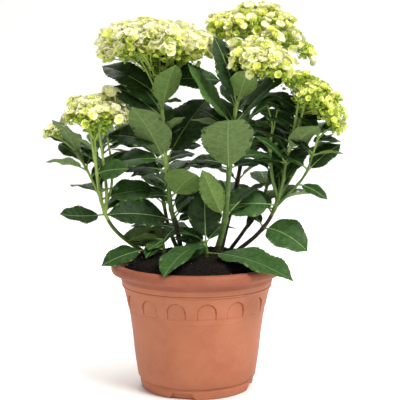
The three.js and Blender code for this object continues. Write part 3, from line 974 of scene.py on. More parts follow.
# Finer leaves between the main ones, by the stem that bears them
FINER_LEAVES = {
    "left": [deep(288, 60, 30, 52, 10)],
    "left 0": [shade(306, 60, 50, 36, 0, width=18)],
    "left 1": [
        deep(312, 12, 10, 50, 24),
        shade(300, 30, 0, 54, 20),
        deep(326, -10, 22, 50, 20),
    ],
    "centre_left": [
        deep(424, 14, 2, 88, 46, width=42, stalk=0.2),
        shade(420, 50, 26, 76, 30, width=40),
        shade(404, 152, 25, 106, -34, width=46),
        shade(376, 168, 32, 84, -40, width=50),
        shade(396, 35, 4, 34, -20),
        shade(338, 172, 10, 84, -35, width=44),
        deep(320, -178, -6, 80, -30),
        shade(304, 170, 2, 68, -35),
        shade(332, 30, 6, 58, 28),
        deep(318, 44, 8, 56, 20),
        deep(250, 10, 42, 58, 12, width=26),
        shade(230, 24, 14, 42, 24, width=20),
        shade(221, 177, 2, 68, -26, width=20),
        fresh(207, -178, 0, 84, 76, width=34),
        shade(303, 176, -8, 52, -20, width=28),
        shade(268, -170, -2, 34, -20, width=20),
        shade(410, 92, 52, 84, 0, width=46),
    ],
    "back_left": [
        shade(328, 178, 8, 66, -25),
        shade(308, 172, 4, 62, -20),
        shade(288, 20, 18, 66, 10),
        shade(338, 28, 26, 60, 10),
    ],
    "centre": [
        shade(394, -154, 69, 98, -84, width=38, stalk=0.14),
        shade(354, 152, 34, 66, -20),
        deep(322, 18, 2, 60, 20),
        shade(246, 150, 36, 52, 0),
        shade(309, 178, 3, 62, -25, width=28),
    ],
    "back_right": [
        deep(372, -12, 30, 62, 30, width=26),
        shade(386, 28, 20, 76, 10),
        deep(356, -14, 16, 66, 34, width=28),
        shade(334, 172, 14, 58, -20),
        deep(330, 14, 10, 62, 18),
    ],
    "far_right": [
        shade(326, 172, 12, 60, -20),
        deep(310, -174, 8, 54, -20),
        shade(242, -150, -58, 38, -20, width=13),
        shade(336, 20, 34, 60, 10),
    ],
    "right": [
        deep(296, 96, 46, 60, 10),
        shade(268, 84, 48, 64, -6),
        shade(248, 152, 4, 44, -24),
        shade(342, 170, 18, 56, -24),
        deep(362, 164, 24, 58, -30, width=34),
        shade(376, 172, 26, 54, -30, width=30),
        shade(382, 166, 34, 50, -28, width=34),
        shade(356, 30, 16, 44, 20),
        shade(374, 12, 10, 52, 34, width=32),
        deep(372, 172, 28, 44, -20, width=18),
        mid(314, 176, 4, 44, -40, width=10),
    ],
    "right 0": [
        deep(352, 8, 12, 50, 22),
        shade(338, 150, 34, 50, -20),
        deep(314, 165, 22, 42, -20),
    ],
    "right 1": [
        deep(306, 165, 26, 46, -22),
        shade(328, 168, 30, 44, -20),
        deep(356, 20, 24, 40, 10),
        mid(326, 4, 2, 44, -40, width=9),
    ],
    "low_front": [
        shade(204, 172, 6, 44, -24, width=22),
        deep(198, 148, 28, 52, -24),
        deep(204, 40, 34, 46, 10),
        deep(204, -128, -28, 44, 0, width=28),
        deep(200, -158, -6, 34, -60, width=26, stalk=0.2),
    ],
    "low_left": [
        deep(203, 60, 22, 50, 10),
        deep(205, -114, -18, 56, -10, width=22),
    ],
}

# Slender stems that rise beside a cane to its flower head: height where each starts, course and radii
FINER_STEMS = {
    "left": [
        (242, [(-134, -9, 268), (-137, -20, 304), (-143, -27, 346), (-147, -26, 372)], (2.5, 1.5)),
        (244, [(-125, -7, 270), (-127, -17, 310), (-131, -26, 348), (-132, -34, 372)], (2.5, 1.5)),
        (250, [(-119, -2, 280), (-118, -9, 316), (-122, -19, 352), (-120, -22, 374)], (2.0, 1.3)),
    ],
    "centre_left": [
        (388, [(-46, -30, 414), (-34, -38, 446), (-24, -42, 470)], (1.8, 1.2)),
        (392, [(-56, -27, 416), (-70, -32, 446), (-82, -36, 466)], (1.8, 1.2)),
    ],
    "right": [
        (330, [(132, -9, 352), (137, -18, 388), (140, -26, 420)], (2.4, 1.4)),
        (334, [(137, -10, 356), (146, -20, 392), (152, -26, 424)], (2.4, 1.4)),
        (338, [(141, 0, 360), (154, -4, 396), (164, -6, 420)], (2.0, 1.3)),
        (262, [(104, 2, 296), (101, -2, 340), (104, -4, 366), (98, -4, 392)], (1.9, 1.1)),
        (264, [(106, 4, 296), (103, 0, 340), (107, -3, 366), (112, -5, 394)], (1.5, 1.0)),
    ],
}

# Places where the crown stays open to the sky, as seen from the front: centre x, z and half widths
OPENINGS = [
    (-99, 292, 15, 17), (17, 332, 22, 13), (29, 292, 13, 12), (81, 294, 22, 10), (60, 222, 15, 22),
    (84, 222, 11, 18), (-60, 213, 20, 7), (-27, 408, 10, 18), (-4, 403, 18, 10), (-1, 450, 11, 9),
    (121, 443, 14, 7), (-168, 283, 44, 29), (-169, 203, 46, 28), (182, 306, 36, 16), (169, 246, 46, 22),
    (-147, 438, 42, 16), (188, 461, 22, 22), (31, 420, 12, 14), (-107, 228, 10, 11),
]

# How far the seeded growth sways a leaf: degrees, degrees and a share of its length
SWAY_TURN = 14
SWAY_RISE = 8
SWAY_LENGTH = 0.08

# Share of its length that a leaf reaches where it points into the crown
SHADED_SHARE = 0.62

# Radius of a shoot at its tip, and at its start as a share of the cane's
SHOOT_TIP_RADIUS = 1.2
SHOOT_START_SHARE = 0.8

# What is added to a cane's seed for each kind of growth, so that none takes the draws of another
SHOOT_SEED = 100
LEAVES_SEED = 1000
FINER_SEED = 1500
HEAD_SEED = 2000
FILLING_SEED = 3000

# Heights from which a cane's stems are pale and young, and up to which a stem looks woody
YOUNG_USUALLY = 330.0
YOUNG_FROM = {"left": 236.0, "centre_left": 290.0, "centre": 380.0, "back_right": 400.0}
WOODY_TO = {"back_right": 345.0, "right": 240.0}

# The joined piece of foliage that each cane's leaves belong to
MASSES = {
    "left": "left",
    "centre_left": "left",
    "back_left": "left",
    "centre": "middle",
    "back_right": "middle",
    "right": "right",
    "far_right": "right",
}


class Skin:
    """Vertices and faces of one joined piece, gathered in millimetres."""

    def __init__(self, finishes: Sequence[Enum]) -> None:
        """Starts an empty skin whose material slots hold the finishes in order."""
        self.finishes = list(finishes)
        self.vertices: list[Vector] = []
        self.faces: list[tuple[int, ...]] = []
        self.slots: list[int] = []

    def add(self, vertices: Iterable[Vector]) -> int:
        """Adds vertices and returns the number of the first."""
        start = len(self.vertices)
        self.vertices.extend(vertices)
        return start

    def face(self, corners: Sequence[int], finish: Enum) -> None:
        """Adds a face in a finish."""
        self.faces.append(tuple(corners))
        self.slots.append(self.finishes.index(finish))

    def tube(self, rings: Sequence[Sequence[Vector]], finishes: Sequence[Enum]) -> None:
        """Adds a tube over rings of points, with a flat face at each end.

        Args:
            rings: Rings of points, all with the same number of points, each counterclockwise about its way.
            finishes: The finish of each stretch between two rings.
        """
        sides = len(rings[0])
        starts = [self.add(ring) for ring in rings]
        for (low, high), finish in zip(zip(starts, starts[1:]), finishes):
            for k in range(sides):
                following = (k + 1) % sides
                self.face((low + k, low + following, high + following, high + k), finish)
        self.face([starts[0] + k for k in reversed(range(sides))], finishes[0])
        self.face([starts[-1] + k for k in range(sides)], finishes[-1])

    def build(self, name: str, sharp: float) -> bpy.types.Object:
        """Makes the piece's object.

        Args:
            name: The object's name.
            sharp: Angle in degrees above which an edge is sharp.

        Returns:
            The object, with its place in its mesh.
        """
        mesh = smooth_mesh(name, [v * MM for v in self.vertices], self.faces)
        for finish in self.finishes:
            mesh.materials.append(finish.value.material())
        mesh.polygons.foreach_set("material_index", self.slots)
        mesh.set_sharp_from_angle(angle=math.radians(sharp))
        mesh.update()
        return add_object(name, mesh)


def rings_along(
    places: Sequence[Vector],
    tangents: Sequence[Vector],
    radii: Sequence[float],
    sides: int,
    relief: Callable[[Vector, float], float] | None = None,
) -> list[list[Vector]]:
    """Lays rings of points round a line.

    Args:
        places: The line's points.
        tangents: The way it runs at each point.
        radii: The radius at each point.
        sides: Points of a ring.
        relief: Gives the share by which the radius changes at a place and an angle.

    Returns:
        The rings.
    """
    across = Vector((1, 0, 0)).cross(tangents[0])
    if across.length < 1e-3:
        across = Vector((0, 1, 0)).cross(tangents[0])
    rings = []
    for place, tangent, radius in zip(places, tangents, radii):
        across = (across - tangent * across.dot(tangent)).normalized()
        beside = tangent.cross(across)
        ring = []
        for k in range(sides):
            angle = 2 * math.pi * k / sides
            out = across * math.cos(angle) + beside * math.sin(angle)
            share = 1 + relief(place + out * radius, angle) if relief else 1.0
            ring.append(place + out * radius * share)
        rings.append(ring)
    return rings


@dataclass
class Blade:
    """The build of a leaf: an ovate, toothed blade with sunken veins, on a round stalk.

    Attributes:
        width_share: Width of the blade over its length, where the table gives none.
        belly: Where the blade is widest: 1 for its middle, less for nearer to its foot.
        fullness: How full its outline is, 1 for a plain sine and less for fuller.
        tip_from: Share of the blade from which it draws in to its tip.
        fold: Degrees that each half rises from the midrib.
        thickness: Thickness of the blade.
        rib_width: Half the midrib's width at the blade's foot.
        rib_taper: Share of that width that is left at the tip.
        rib_depth: How far the midrib stands out under the blade's foot.
        rib_sink: How far it is sunk in the upper side, and the stalk with it.
        veins: Side veins on each half.
        veins_from: Share of the blade where the first one ends.
        veins_over: Share of the blade over which they are spread.
        vein_width: Half a side vein's width at the midrib.
        vein_sway: How far a vein's end may be shifted, as a share of the blade.
        lag: How far a side vein's foot lies back from its end, as a share of the blade.
        lag_taper: Share by which the lag shrinks to the tip.
        skew: How far the lag of one half differs from its mean.
        tooth: How far a tooth stands out, as a share of the blade.
        tooth_place: Where its tip stands between two veins.
        tooth_depth: Thickness of a tooth's tip.
        quilt: How far the blade bulges between two veins, as a share of the blade.
        wave: How far the margin waves, as a share of the half width.
        waves: Waves of a margin over its length.
        columns: Shares of the half width where the columns of the mesh stand.
        stalk_radius: Radius of the stalk at the stem.
        stalk_taper: Share of that radius that it has under the blade.
        stalk_swell: Share by which it swells at the stem.
        stalk_free: Share of the blade, from its tip, that the stalk doesn't reach.
        stalk_step: Distance between its rings.
        stalk_sides: Its sides.
    """

    width_share: float = 0.6
    belly: float = 0.82
    fullness: float = 0.72
    tip_from: float = 0.84
    fold: float = 17.0
    thickness: float = 0.5
    rib_width: float = 0.85
    rib_taper: float = 0.35
    rib_depth: float = 0.9
    rib_sink: float = 0.25
    veins: int = 7
    veins_from: float = 0.09
    veins_over: float = 0.8
    vein_width: float = 0.4
    vein_sway: float = 0.014
    lag: float = 0.17
    lag_taper: float = 0.35
    skew: float = 0.16
    tooth: float = 0.016
    tooth_place: float = 0.72
    tooth_depth: float = 0.3
    quilt: float = 0.012
    wave: float = 0.09
    waves: float = 2.3
    columns: tuple[float, ...] = (0.3, 0.56, 0.8, 1.0)
    stalk_radius: float = 1.3
    stalk_taper: float = 0.75
    stalk_swell: float = 0.5
    stalk_free: float = 0.93
    stalk_step: float = 6.0
    stalk_sides: int = 7

    def outline(self, share: float) -> float:
        """Returns the half width of the blade at a share of its length, 1 at its widest."""
        body = math.sin(math.pi * share**self.belly) ** self.fullness if 0 < share < 1 else 0.0
        return body * (1 - 0.5 * smooth_step(self.tip_from, 1.0, share))

    def rows(self, blade: float, phase: float) -> list[tuple[float, bool, float]]:
        """Lays the rows of the mesh along the margin.

        Args:
            blade: Length of the blade.
            phase: A number from 0 to 1 that shifts the veins a little.

        Returns:
            For each row its share of the blade, whether a vein lies before the next row, and its bulge.
        """
        half = self.vein_width / blade
        rows = [(0.015, False, 0.0)]
        feet = []
        for k in range(self.veins):
            foot = self.veins_from + self.veins_over * (k / (self.veins - 1)) ** 0.95
            feet.append(foot + self.vein_sway * math.sin(2.4 * k + 2 * math.pi * phase))
        for k, foot in enumerate(feet):
            rows += [(foot - half, True, 0.0), (foot + half, False, 0.0)]
            if k + 1 < self.veins:
                rows.append(((foot + feet[k + 1]) / 2, False, 1.0))
        rows += [(0.95, False, 0.4), (0.985, False, 0.0)]
        return rows


@dataclass
class LaidLeaf:
    """One leaf, laid out in space and added to a skin.

    Attributes:
        build: The build of the leaf.
        skin: The skin that gets it.
        root: Where it leaves the stem's axis.
        leaf: The leaf, as grown.
        tones: Finishes of its upper side and underside.
        phase: Where the waves of its margin start, from 0 to 1.
    """

    build: Blade
    skin: Skin
    root: Vector
    leaf: Leaf
    tones: tuple[Leafy, Leafy]
    phase: float

    def __post_init__(self) -> None:
        """Lays its axes and the rows of its mesh."""
        roll = math.radians(self.leaf.roll)
        self.along = direction(self.leaf.turn, self.leaf.rise)
        beside = self.along.cross(UP).normalized()
        above = beside.cross(self.along)
        self.normal = above * math.cos(roll) + beside * math.sin(roll)
        self.lateral = beside * math.cos(roll) - above * math.sin(roll)
        self.bend = math.radians(self.leaf.arch)
        self.blade = self.leaf.length * (1 - self.leaf.stalk)
        self.half_width = (self.leaf.width or self.blade * self.build.width_share) / 2
        self.fold = math.tan(math.radians(self.build.fold))
        self.rows = self.build.rows(self.blade, self.phase)
        self.upper: list[list[int]] = []
        self.under: list[list[int]] = []

    def frame(self, distance: float) -> tuple[Vector, Vector, Vector]:
        """Returns the midrib's place at a distance, the way out of the upper side and the way along.

        Args:
            distance: Distance from the stem along the leaf.

        Returns:
            The place, the way out of the upper side and the way along.
        """
        bend, length = self.bend, self.leaf.length
        angle = bend / 2 - bend * distance / length
        rib = self.root + self.along * ((math.sin(bend / 2) - math.sin(angle)) * length / bend)
        rib += self.normal * ((math.cos(angle) - math.cos(bend / 2)) * length / bend)
        out = self.normal * math.cos(angle) - self.along * math.sin(angle)
        return rib, out, self.lateral.cross(out) * -1

    def place(self, share: float, across: float, part: float, lift: float) -> Vector:
        """Returns a place on the blade.

        Args:
            share: Share of the blade's length.
            across: Distance from the midrib, less than 0 on its left.
            part: The same distance as a share of the half width.
            lift: Height over the blade's middle surface.

        Returns:
            The place.
        """
        rib, out, _ = self.frame(self.leaf.length - self.blade * (1 - share))
        side = 1 if across > 0 else -1
        turn = 2 * math.pi * (share * self.build.waves + self.phase + 0.31 * side)
        wave = math.sin(turn) * self.build.wave * self.half_width
        rise = abs(across) * self.fold * (1 - 0.5 * part) + wave * part * part * math.sin(math.pi * share)
        return rib + self.lateral * across + out * (rise + lift)

    def grow(self) -> None:
        """Adds the leaf: both sides, which share their margins, then its teeth, its ends and its stalk."""
        for row in self.rows:
            line = self._line(row, False)
            first = self.skin.add(line)
            self.upper.append(list(range(first, first + len(line))))
        for row, above in zip(self.rows, self.upper):
            inner = self.skin.add(self._line(row, True)[1:-1])
            self.under.append([above[0], *range(inner, inner + len(above) - 2), above[-1]])
        self._panels()
        self._teeth()
        self._ends()
        self._stalk()

    def _line(self, row: tuple[float, bool, float], lower: bool) -> list[Vector]:
        """Returns the places of one row, from its left margin to its right one.

        Args:
            row: The row.
            lower: Whether it lies on the underside.

        Returns:
            The places.
        """
        build = self.build
        margin, _, bulge = row
        lag = build.lag * math.sin(math.pi * margin) * (1 - build.lag_taper * margin)
        half = build.outline(margin) * self.half_width
        rib_half = min(build.rib_width * mix(1, build.rib_taper, margin), half * 0.5)
        line: list[Vector] = []
        for side in (-1, 1):
            foot = margin - lag * (1 + build.skew * side * math.cos(2 * math.pi * self.phase))
            stretch = []
            for part in (0.0, *build.columns):
                share = mix(foot, margin, part**1.25)
                swell = 4 * part * (1 - part) * bulge * build.quilt * self.blade
                if lower:
                    rib = build.rib_depth * mix(1, 0.3, margin) if part == 0 else 0.0
                    lift = swell * 0.8 - (build.thickness / 2 + rib) * (1 - part**6)
                else:
                    sink = build.rib_sink if part == 0 else 0.0
                    lift = swell + build.thickness / 2 * (1 - part**6) - sink
                stretch.append(self.place(share, side * mix(rib_half, half, part), part, lift))
            line += stretch[::-1] if side < 0 else stretch
        return line

    def _panels(self) -> None:
        """Adds the faces of both sides, with their veins and midrib."""
        middle = len(self.build.columns)
        for r, (_, is_vein, _) in enumerate(self.rows[:-1]):
            (above, next_above), (below, next_below) = self.upper[r : r + 2], self.under[r : r + 2]
            for c in range(2 * middle + 1):
                top, bottom = self.tones
                if c == middle:
                    top = bottom = Leafy.RIB
                elif is_vein and c not in (0, 2 * middle):
                    top, bottom = Leafy.VEIN, Leafy.VEIN_UNDER
                self.skin.face((above[c], above[c + 1], next_above[c + 1], next_above[c]), top)
                self.skin.face((below[c + 1], below[c], next_below[c], next_below[c + 1]), bottom)

    def _teeth(self) -> None:
        """Adds the teeth of the margin, each a thin wedge."""
        build, skin = self.build, self.skin
        for r in range(1, len(self.rows) - 1):
            low, high = self.rows[r][0], self.rows[r + 1][0]
            if high - low < 0.02:
                continue
            share = mix(low, high, build.tooth_place)
            out = build.tooth * self.blade * math.sin(math.pi * min(share, 0.97))
            reach = build.outline(share) * self.half_width + out
            for side, column in ((-1, 0), (1, -1)):
                lifts = (0.0, -build.tooth_depth)
                tip = skin.add([self.place(share, side * reach, 1.0, lift) for lift in lifts])
                a, b = (self.upper[r][column], self.upper[r + 1][column])[::side]
                skin.face((a, tip, b), self.tones[0])
                skin.face((b, tip + 1, a), self.tones[1])
                skin.face((a, tip + 1, tip), self.tones[0])
                skin.face((b, tip, tip + 1), self.tones[0])

    def _ends(self) -> None:
        """Closes the blade's foot and draws out its tip."""
        skin, (top, bottom) = self.skin, self.tones
        above, below = self.upper[0], self.under[0]
        tip = skin.add([self.place(1.0, 0.0, 0.0, 0.0)])
        last = len(above) - 1
        for c in range(last):
            skin.face((self.upper[-1][c], self.upper[-1][c + 1], tip), top)
            skin.face((self.under[-1][c + 1], self.under[-1][c], tip), bottom)
            if c not in (0, last - 1):
                skin.face((above[c + 1], above[c], below[c], below[c + 1]), bottom)
        skin.face((above[1], above[0], below[1]), bottom)
        skin.face((above[last], above[last - 1], below[last - 1]), bottom)

    def _stalk(self) -> None:
        """Adds the stalk, which swells at the stem and runs on a little way under the blade."""
        build = self.build
        end = self.leaf.length - self.blade * build.stalk_free
        steps = max(4, int(end / build.stalk_step))
        places, tangents, radii = [], [], []
        for k in range(steps + 1):
            share = k / steps
            rib, out, way = self.frame(end * share)
            places.append(rib - out * build.rib_sink)
            tangents.append(way)
            swell = build.stalk_swell * math.exp(-end * share / 3.0)
            radii.append(build.stalk_radius * (mix(1.0, build.stalk_taper, share) + swell))
        radii[-1] *= 0.4
        self.skin.tube(rings_along(places, tangents, radii, build.stalk_sides), [Leafy.RIB] * steps)


@dataclass
class Foliage:
    """All leaves of the plant, joined by mass.

    Attributes:
        blade: The build of a leaf.
        finer_blade: The build of a finer leaf, with fewer veins.
        finer_length: Shortest and longest finer leaf.
        finer_rise: Least and most degrees that a finer leaf rises.
        finer_sway: Degrees that it may sway round the stem.
        finer_roll: Degrees that it may roll about its own axis.
        node_spacing: Height between two pairs of finer leaves.
        back_from: How far behind the middle a leaf gets the darker tones of painted shade at the back.
        young_from: Height from which every underside is that of a young leaf.
        back_tones: Finishes dealt out at the back, darker as painted shade.
        front_tones: Finishes dealt out in front, with the commonest twice.
    """

    blade: Blade = field(default_factory=Blade)
    finer_blade: Blade = field(default_factory=lambda: Blade(veins=5, columns=(0.4, 0.75, 1.0)))
    finer_length: tuple[float, float] = (44.0, 66.0)
    finer_rise: tuple[float, float] = (8.0, 44.0)
    finer_sway: float = 25.0
    finer_roll: float = 18.0
    node_spacing: float = 14.0
    back_from: float = 60.0
    young_from: float = 380.0
    back_tones: tuple[Leafy, ...] = (Leafy.SHADE, Leafy.DEEP, Leafy.MID)
    front_tones: tuple[Leafy, ...] = (Leafy.DEEP, Leafy.MID, Leafy.MID, Leafy.FRESH)

    def grow(
        self, skin: Skin, course: Course, leaves: Sequence[Leaf], numbers: SeededNumbers, seed: int
    ) -> None:
        """Adds the leaves of one stem.

        Args:
            skin: The skin that gets them.
            course: The stem's course.
            leaves: Its leaves, in the order of growth.
            numbers: The cane's seeded numbers.
            seed: Seed of the leaves' looks.
        """
        looks = SeededNumbers(seed)
        for item in leaves:
            root = course.at_height(item.height)
            grown = self.swayed(item, root, numbers)
            LaidLeaf(self.blade, skin, root, grown, self.tones(grown, root, looks), looks.draw()).grow()

    def swayed(self, item: Leaf, root: Vector, numbers: SeededNumbers) -> Leaf:
        """Returns the leaf as the seeded growth sways it.

        Args:
            item: The leaf of the table.
            root: Where it leaves the stem.
            numbers: The cane's seeded numbers.

        Returns:
            The grown leaf.
        """
        if not item.sways:
            return item
        turn, rise, length = (numbers.sway() for _ in range(3))
        is_shaded = direction(item.turn, 0).dot(root) < 0
        return Leaf(
            item.height,
            item.turn + SWAY_TURN * turn,
            item.rise + SWAY_RISE * rise,
            item.length * (1 + SWAY_LENGTH * length) * (SHADED_SHARE if is_shaded else 1),
        )

    def tones(self, leaf: Leaf, root: Vector, looks: SeededNumbers) -> tuple[Leafy, Leafy]:
        """Deals out the finishes of one leaf.

        Args:
            leaf: The leaf, as grown.
            root: Where it leaves the stem.
            looks: Seeded numbers of the looks.

        Returns:
            The finishes of its upper side and underside.
        """
        # Painted shade: leaves at the back of the crown get darker tones.
        choice = self.back_tones if root.y > self.back_from else self.front_tones
        dealt = choice[int(looks.draw() * len(choice))]
        is_young = leaf.height > self.young_from or looks.draw() > 0.6
        return leaf.tone or dealt, Leafy.UNDER_FRESH if is_young else Leafy.UNDER

    def fill(self, skin: Skin, course: Course, low: float, high: float, seed: int) -> None:
        """Adds finer opposite leaves between the main ones, away from the eye and clear of the openings.

        Args:
            skin: The skin that gets them.
            course: The stem's course.
            low: Height of its lowest leaves.
            high: Height of its highest leaves.
            seed: Seed of this growth.
        """
        numbers = SeededNumbers(seed)
        count = max(1, round((high - low) / self.node_spacing))
        for k in range(count):
            height = mix(low, high, (k + 0.6) / count)
            root = course.at_height(height)
            nearest = -0.25 if root.y < 50 else -0.75
            for side in (0, 180):
                turn = 35 + 90 * (k % 2) + side + numbers.sway() * self.finer_sway
                rise = numbers.between(*self.finer_rise)
                length = numbers.between(*self.finer_length)
                leaf = Leaf(height, turn, rise, length, numbers.sway() * self.finer_roll)
                if direction(turn, 0).y < nearest or self.shuts(leaf, root):
                    continue
                tones = self.tones(leaf, root, numbers)
                LaidLeaf(self.finer_blade, skin, root, leaf, tones, numbers.draw()).grow()

    @staticmethod
    def shuts(leaf: Leaf, root: Vector) -> bool:
        """Tells whether a leaf would shut one of the openings, as seen from the front.

        Args:
            leaf: The leaf.
            root: Where it leaves the stem.

        Returns:
            Whether its midrib or a margin crosses an opening.
        """
        along = direction(leaf.turn, leaf.rise)
        beside = along.cross(UP).normalized()
        for share in (0.3, 0.5, 0.7, 0.9, 1.0):
            for side in (-1, 0, 1):
                out = beside * leaf.length * 0.22 * side * (1.1 - share)
                place = root + along * leaf.length * share + out
                seen = EYE + (place - EYE) * (-EYE.y / (place.y - EYE.y))
                if any(((seen.x - x) / w) ** 2 + ((seen.z - z) / h) ** 2 < 1 for x, z, w, h in OPENINGS):
                    return True
        return False


@dataclass
class Stems:
    """The canes, their leafy stems and the shoots.

    Attributes:
        sides: Sides of a limb.
        spacing: Distance between the rings of a limb.
        node_swell: Share by which a limb swells at a leaf's node.
        node_reach: Half the length of that swelling.
        bark_relief: Share by which the ridges of brown bark change the radius.
        skin_relief: The same for the smooth skin above, as a share of the ridges.
        girth: Share of the solid's radius that a limb has at its foot and at its tip.
    """

    sides: int = 12
    spacing: float = 3.0
    node_swell: float = 0.28
    node_reach: float = 2.6
    bark_relief: float = 0.09
    skin_relief: float = 0.35
    girth: tuple[float, float] = (1.08, 0.88)

    def grow(
        self, skin: Skin, course: Course, nodes: Sequence[float], woody_to: float, young_from: float
    ) -> None:
        """Adds a limb along its course.

        Args:
            skin: The skin that gets it.
            course: The limb's course.
            nodes: Shares of the length where leaves grow.
            woody_to: Height up to which its bark is brown.
            young_from: Height from which its bark is pale and young.
        """
        count = max(3, int(course.length / self.spacing))
        shares = [k / count for k in range(count + 1)]
        places = [course.point(share) for share in shares]
        tangents = [course.tangent(share) for share in shares]
        radii = []
        for share in shares:
            near = min((abs(share - node) * course.length for node in nodes), default=math.inf)
            swell = 1 + self.node_swell * math.exp(-((near / self.node_reach) ** 2))
            radii.append(course.radius(share) * mix(*self.girth, share) * swell)

        def bark(place: Vector, angle: float) -> float:
            """Returns the ridges and wrinkles of the bark at a place."""
            strength = self.bark_relief * (1.0 if place.z < woody_to else self.skin_relief)
            return strength * noise.noise(Vector((math.cos(angle) * 2, math.sin(angle) * 2, place.z / 4)))

        finishes = []
        for low, high in zip(places, places[1:]):
            height = (low.z + high.z) / 2
            smooth = Bark.GREEN if height < young_from else Bark.YOUNG
            finishes.append(Bark.WOODY if height < woody_to else smooth)
        skin.tube(rings_along(places, tangents, radii, self.sides, bark), finishes)


@dataclass
class Template:
    """One small shape that is set on many points, in units of its own size.

    Attributes:
        name: Its name.
        finish: Its finish.
        vertices: Its vertices.
        faces: Its faces.
        ends: Finishes of its foot and of its rim, or None where they don't differ.
        foot_faces: Numbers of the faces of its foot.
        rim_faces: Numbers of the faces of its rim.
    """

    name: str
    finish: Enum
    vertices: list[Vector]
    faces: list[tuple[int, ...]]
    ends: tuple[Enum, Enum] | None = None
    foot_faces: set[int] = field(default_factory=set)
    rim_faces: set[int] = field(default_factory=set)

    def mesh(self) -> bpy.types.Mesh:
        """Returns the shape's mesh.

        Returns:
            The mesh, whose faces carry whether they are foot or rim.
        """
        mesh = smooth_mesh(self.name, self.vertices, self.faces)
        for part, numbers in (("foot", self.foot_faces), ("rim", self.rim_faces)):
            marks = mesh.attributes.new(part, "BOOLEAN", "FACE")
            marks.data.foreach_set("value", [k in numbers for k in range(len(self.faces))])
        mesh.update()
        return mesh


# Shares of a sepal's length where its mesh has a row, each with its half width there
SEPAL_ROWS = ((0.04, 0.2), (0.3, 0.74), (0.62, 1.0), (0.86, 0.84), (1.0, 0.34))


def sepal_floret(
    name: str, tones: tuple[Enum, Enum, Enum], opening: tuple[float, float], breadth: float, petals: int = 4
) -> Template:
    """Makes a plump floret of overlapping sepals that cup round its eye.

    Args:
        name: The template's name.
        tones: Finishes of the sepals' feet, middles and rims.
        opening: Degrees from the floret's axis to a sepal at its foot and at its tip.
        breadth: Half a sepal's width.
        petals: Number of sepals.

    Returns:
        The template, with sepals of length 1.
    """
    floret = Template(name, tones[1], [], [], (tones[0], tones[2]))
    vertices, faces = floret.vertices, floret.faces
    for k in range(petals):
        around = 2 * math.pi / petals * k + 0.2 * (k % 2)
        place = Vector((0.0, 0.0, 0.0))
        start, last = len(vertices), 0.0
        for reach, half in SEPAL_ROWS:
            angle = math.radians(mix(*opening, reach) + 6 * (k % 2))
            place = place + Vector((math.sin(angle), 0, math.cos(angle))) * (reach - last)
            last = reach
            for side in (-1, 0, 1):
                out = Vector((place.x, side * half * breadth, place.z + (0.05 * half if side else 0.0)))
                out.x -= 0.4 * half * breadth * abs(side)
                vertices.append(Quaternion(UP, around) @ out)
        for row in range(len(SEPAL_ROWS) - 1):
            for a in (start + row * 3, start + row * 3 + 1):
                if row == 0:
                    floret.foot_faces.add(len(faces))
                if row == len(SEPAL_ROWS) - 2:
                    floret.rim_faces.add(len(faces))
                faces.append((a, a + 3, a + 4, a + 1))
    eye = len(vertices)
    vertices.append(Vector((0, 0, 0.4)))
    vertices.extend(Vector((0.15 * math.cos(a), 0.15 * math.sin(a), 0.1)) for a in (0, 1.57, 3.14, 4.71))
    floret.foot_faces.update(range(len(faces), len(faces) + 4))
    faces.extend((eye, eye + 1 + k, eye + 1 + (k + 1) % 4) for k in range(4))
    return floret


def ball(name: str, finish: Enum, squash: float, rough: float, rings: int = 2, sides: int = 5) -> Template:
    """Makes a small rounded lump.

    Args:
        name: The template's name.
        finish: Its finish.
        squash: Its height over its width.
        rough: How far it is knobbly.
        rings: Rings between its poles.
        sides: Points of a ring.

    Returns:
        The template, of radius 1.
    """
    vertices = [Vector((0, 0, -squash))]
    for r in range(1, rings + 1):
        tilt = math.pi * r / (rings + 1)
        for k in range(sides):
            angle = 2 * math.pi * (k + 0.5 * (r % 2)) / sides
            across = math.sin(tilt)
            out = Vector((across * math.cos(angle), across * math.sin(angle), -math.cos(tilt)))
            size = 1 + rough * noise.noise(out * 2.3 + Vector((7.1, 3.3, 1.7)))
            vertices.append(Vector((out.x * size, out.y * size, out.z * squash * size)))
    vertices.append(Vector((0, 0, squash)))
    top = len(vertices) - 1
    faces: list[tuple[int, ...]] = []
    for k in range(sides):
        following = (k + 1) % sides
        faces.append((0, 1 + following, 1 + k))
        faces.append((top, top - sides + k, top - sides + following))
        for r in range(rings - 1):
            low, high = 1 + r * sides, 1 + (r + 1) * sides
            faces.append((low + k, low + following, high + following, high + k))
    return Template(name, finish, vertices, faces)


def carried(tree: NodeTree, name: str, kind: str) -> Socket:
    """Returns what the points or faces carry under a name.

    Args:
        tree: The node tree.
        name: The name.
        kind: The kind of value.

    Returns:
        The socket of the value.
    """
    node = add_node(tree, "GeometryNodeInputNamedAttribute", {"data_type": kind}, {"Name": name})
    return node.outputs["Attribute"]


def drawn(tree: NodeTree, low: object, high: float, seed: Socket) -> Socket:
    """Returns a random value of each point, from low to high.

    Args:
        tree: The node tree.
        low: The lowest value.
        high: The highest value.
        seed: The seed.

    Returns:
        The socket of the value.
    """
    inputs = {2: low, 3: high, "Seed": seed}
    return add_node(tree, "FunctionNodeRandomValue", {"data_type": "FLOAT"}, inputs).outputs[1]


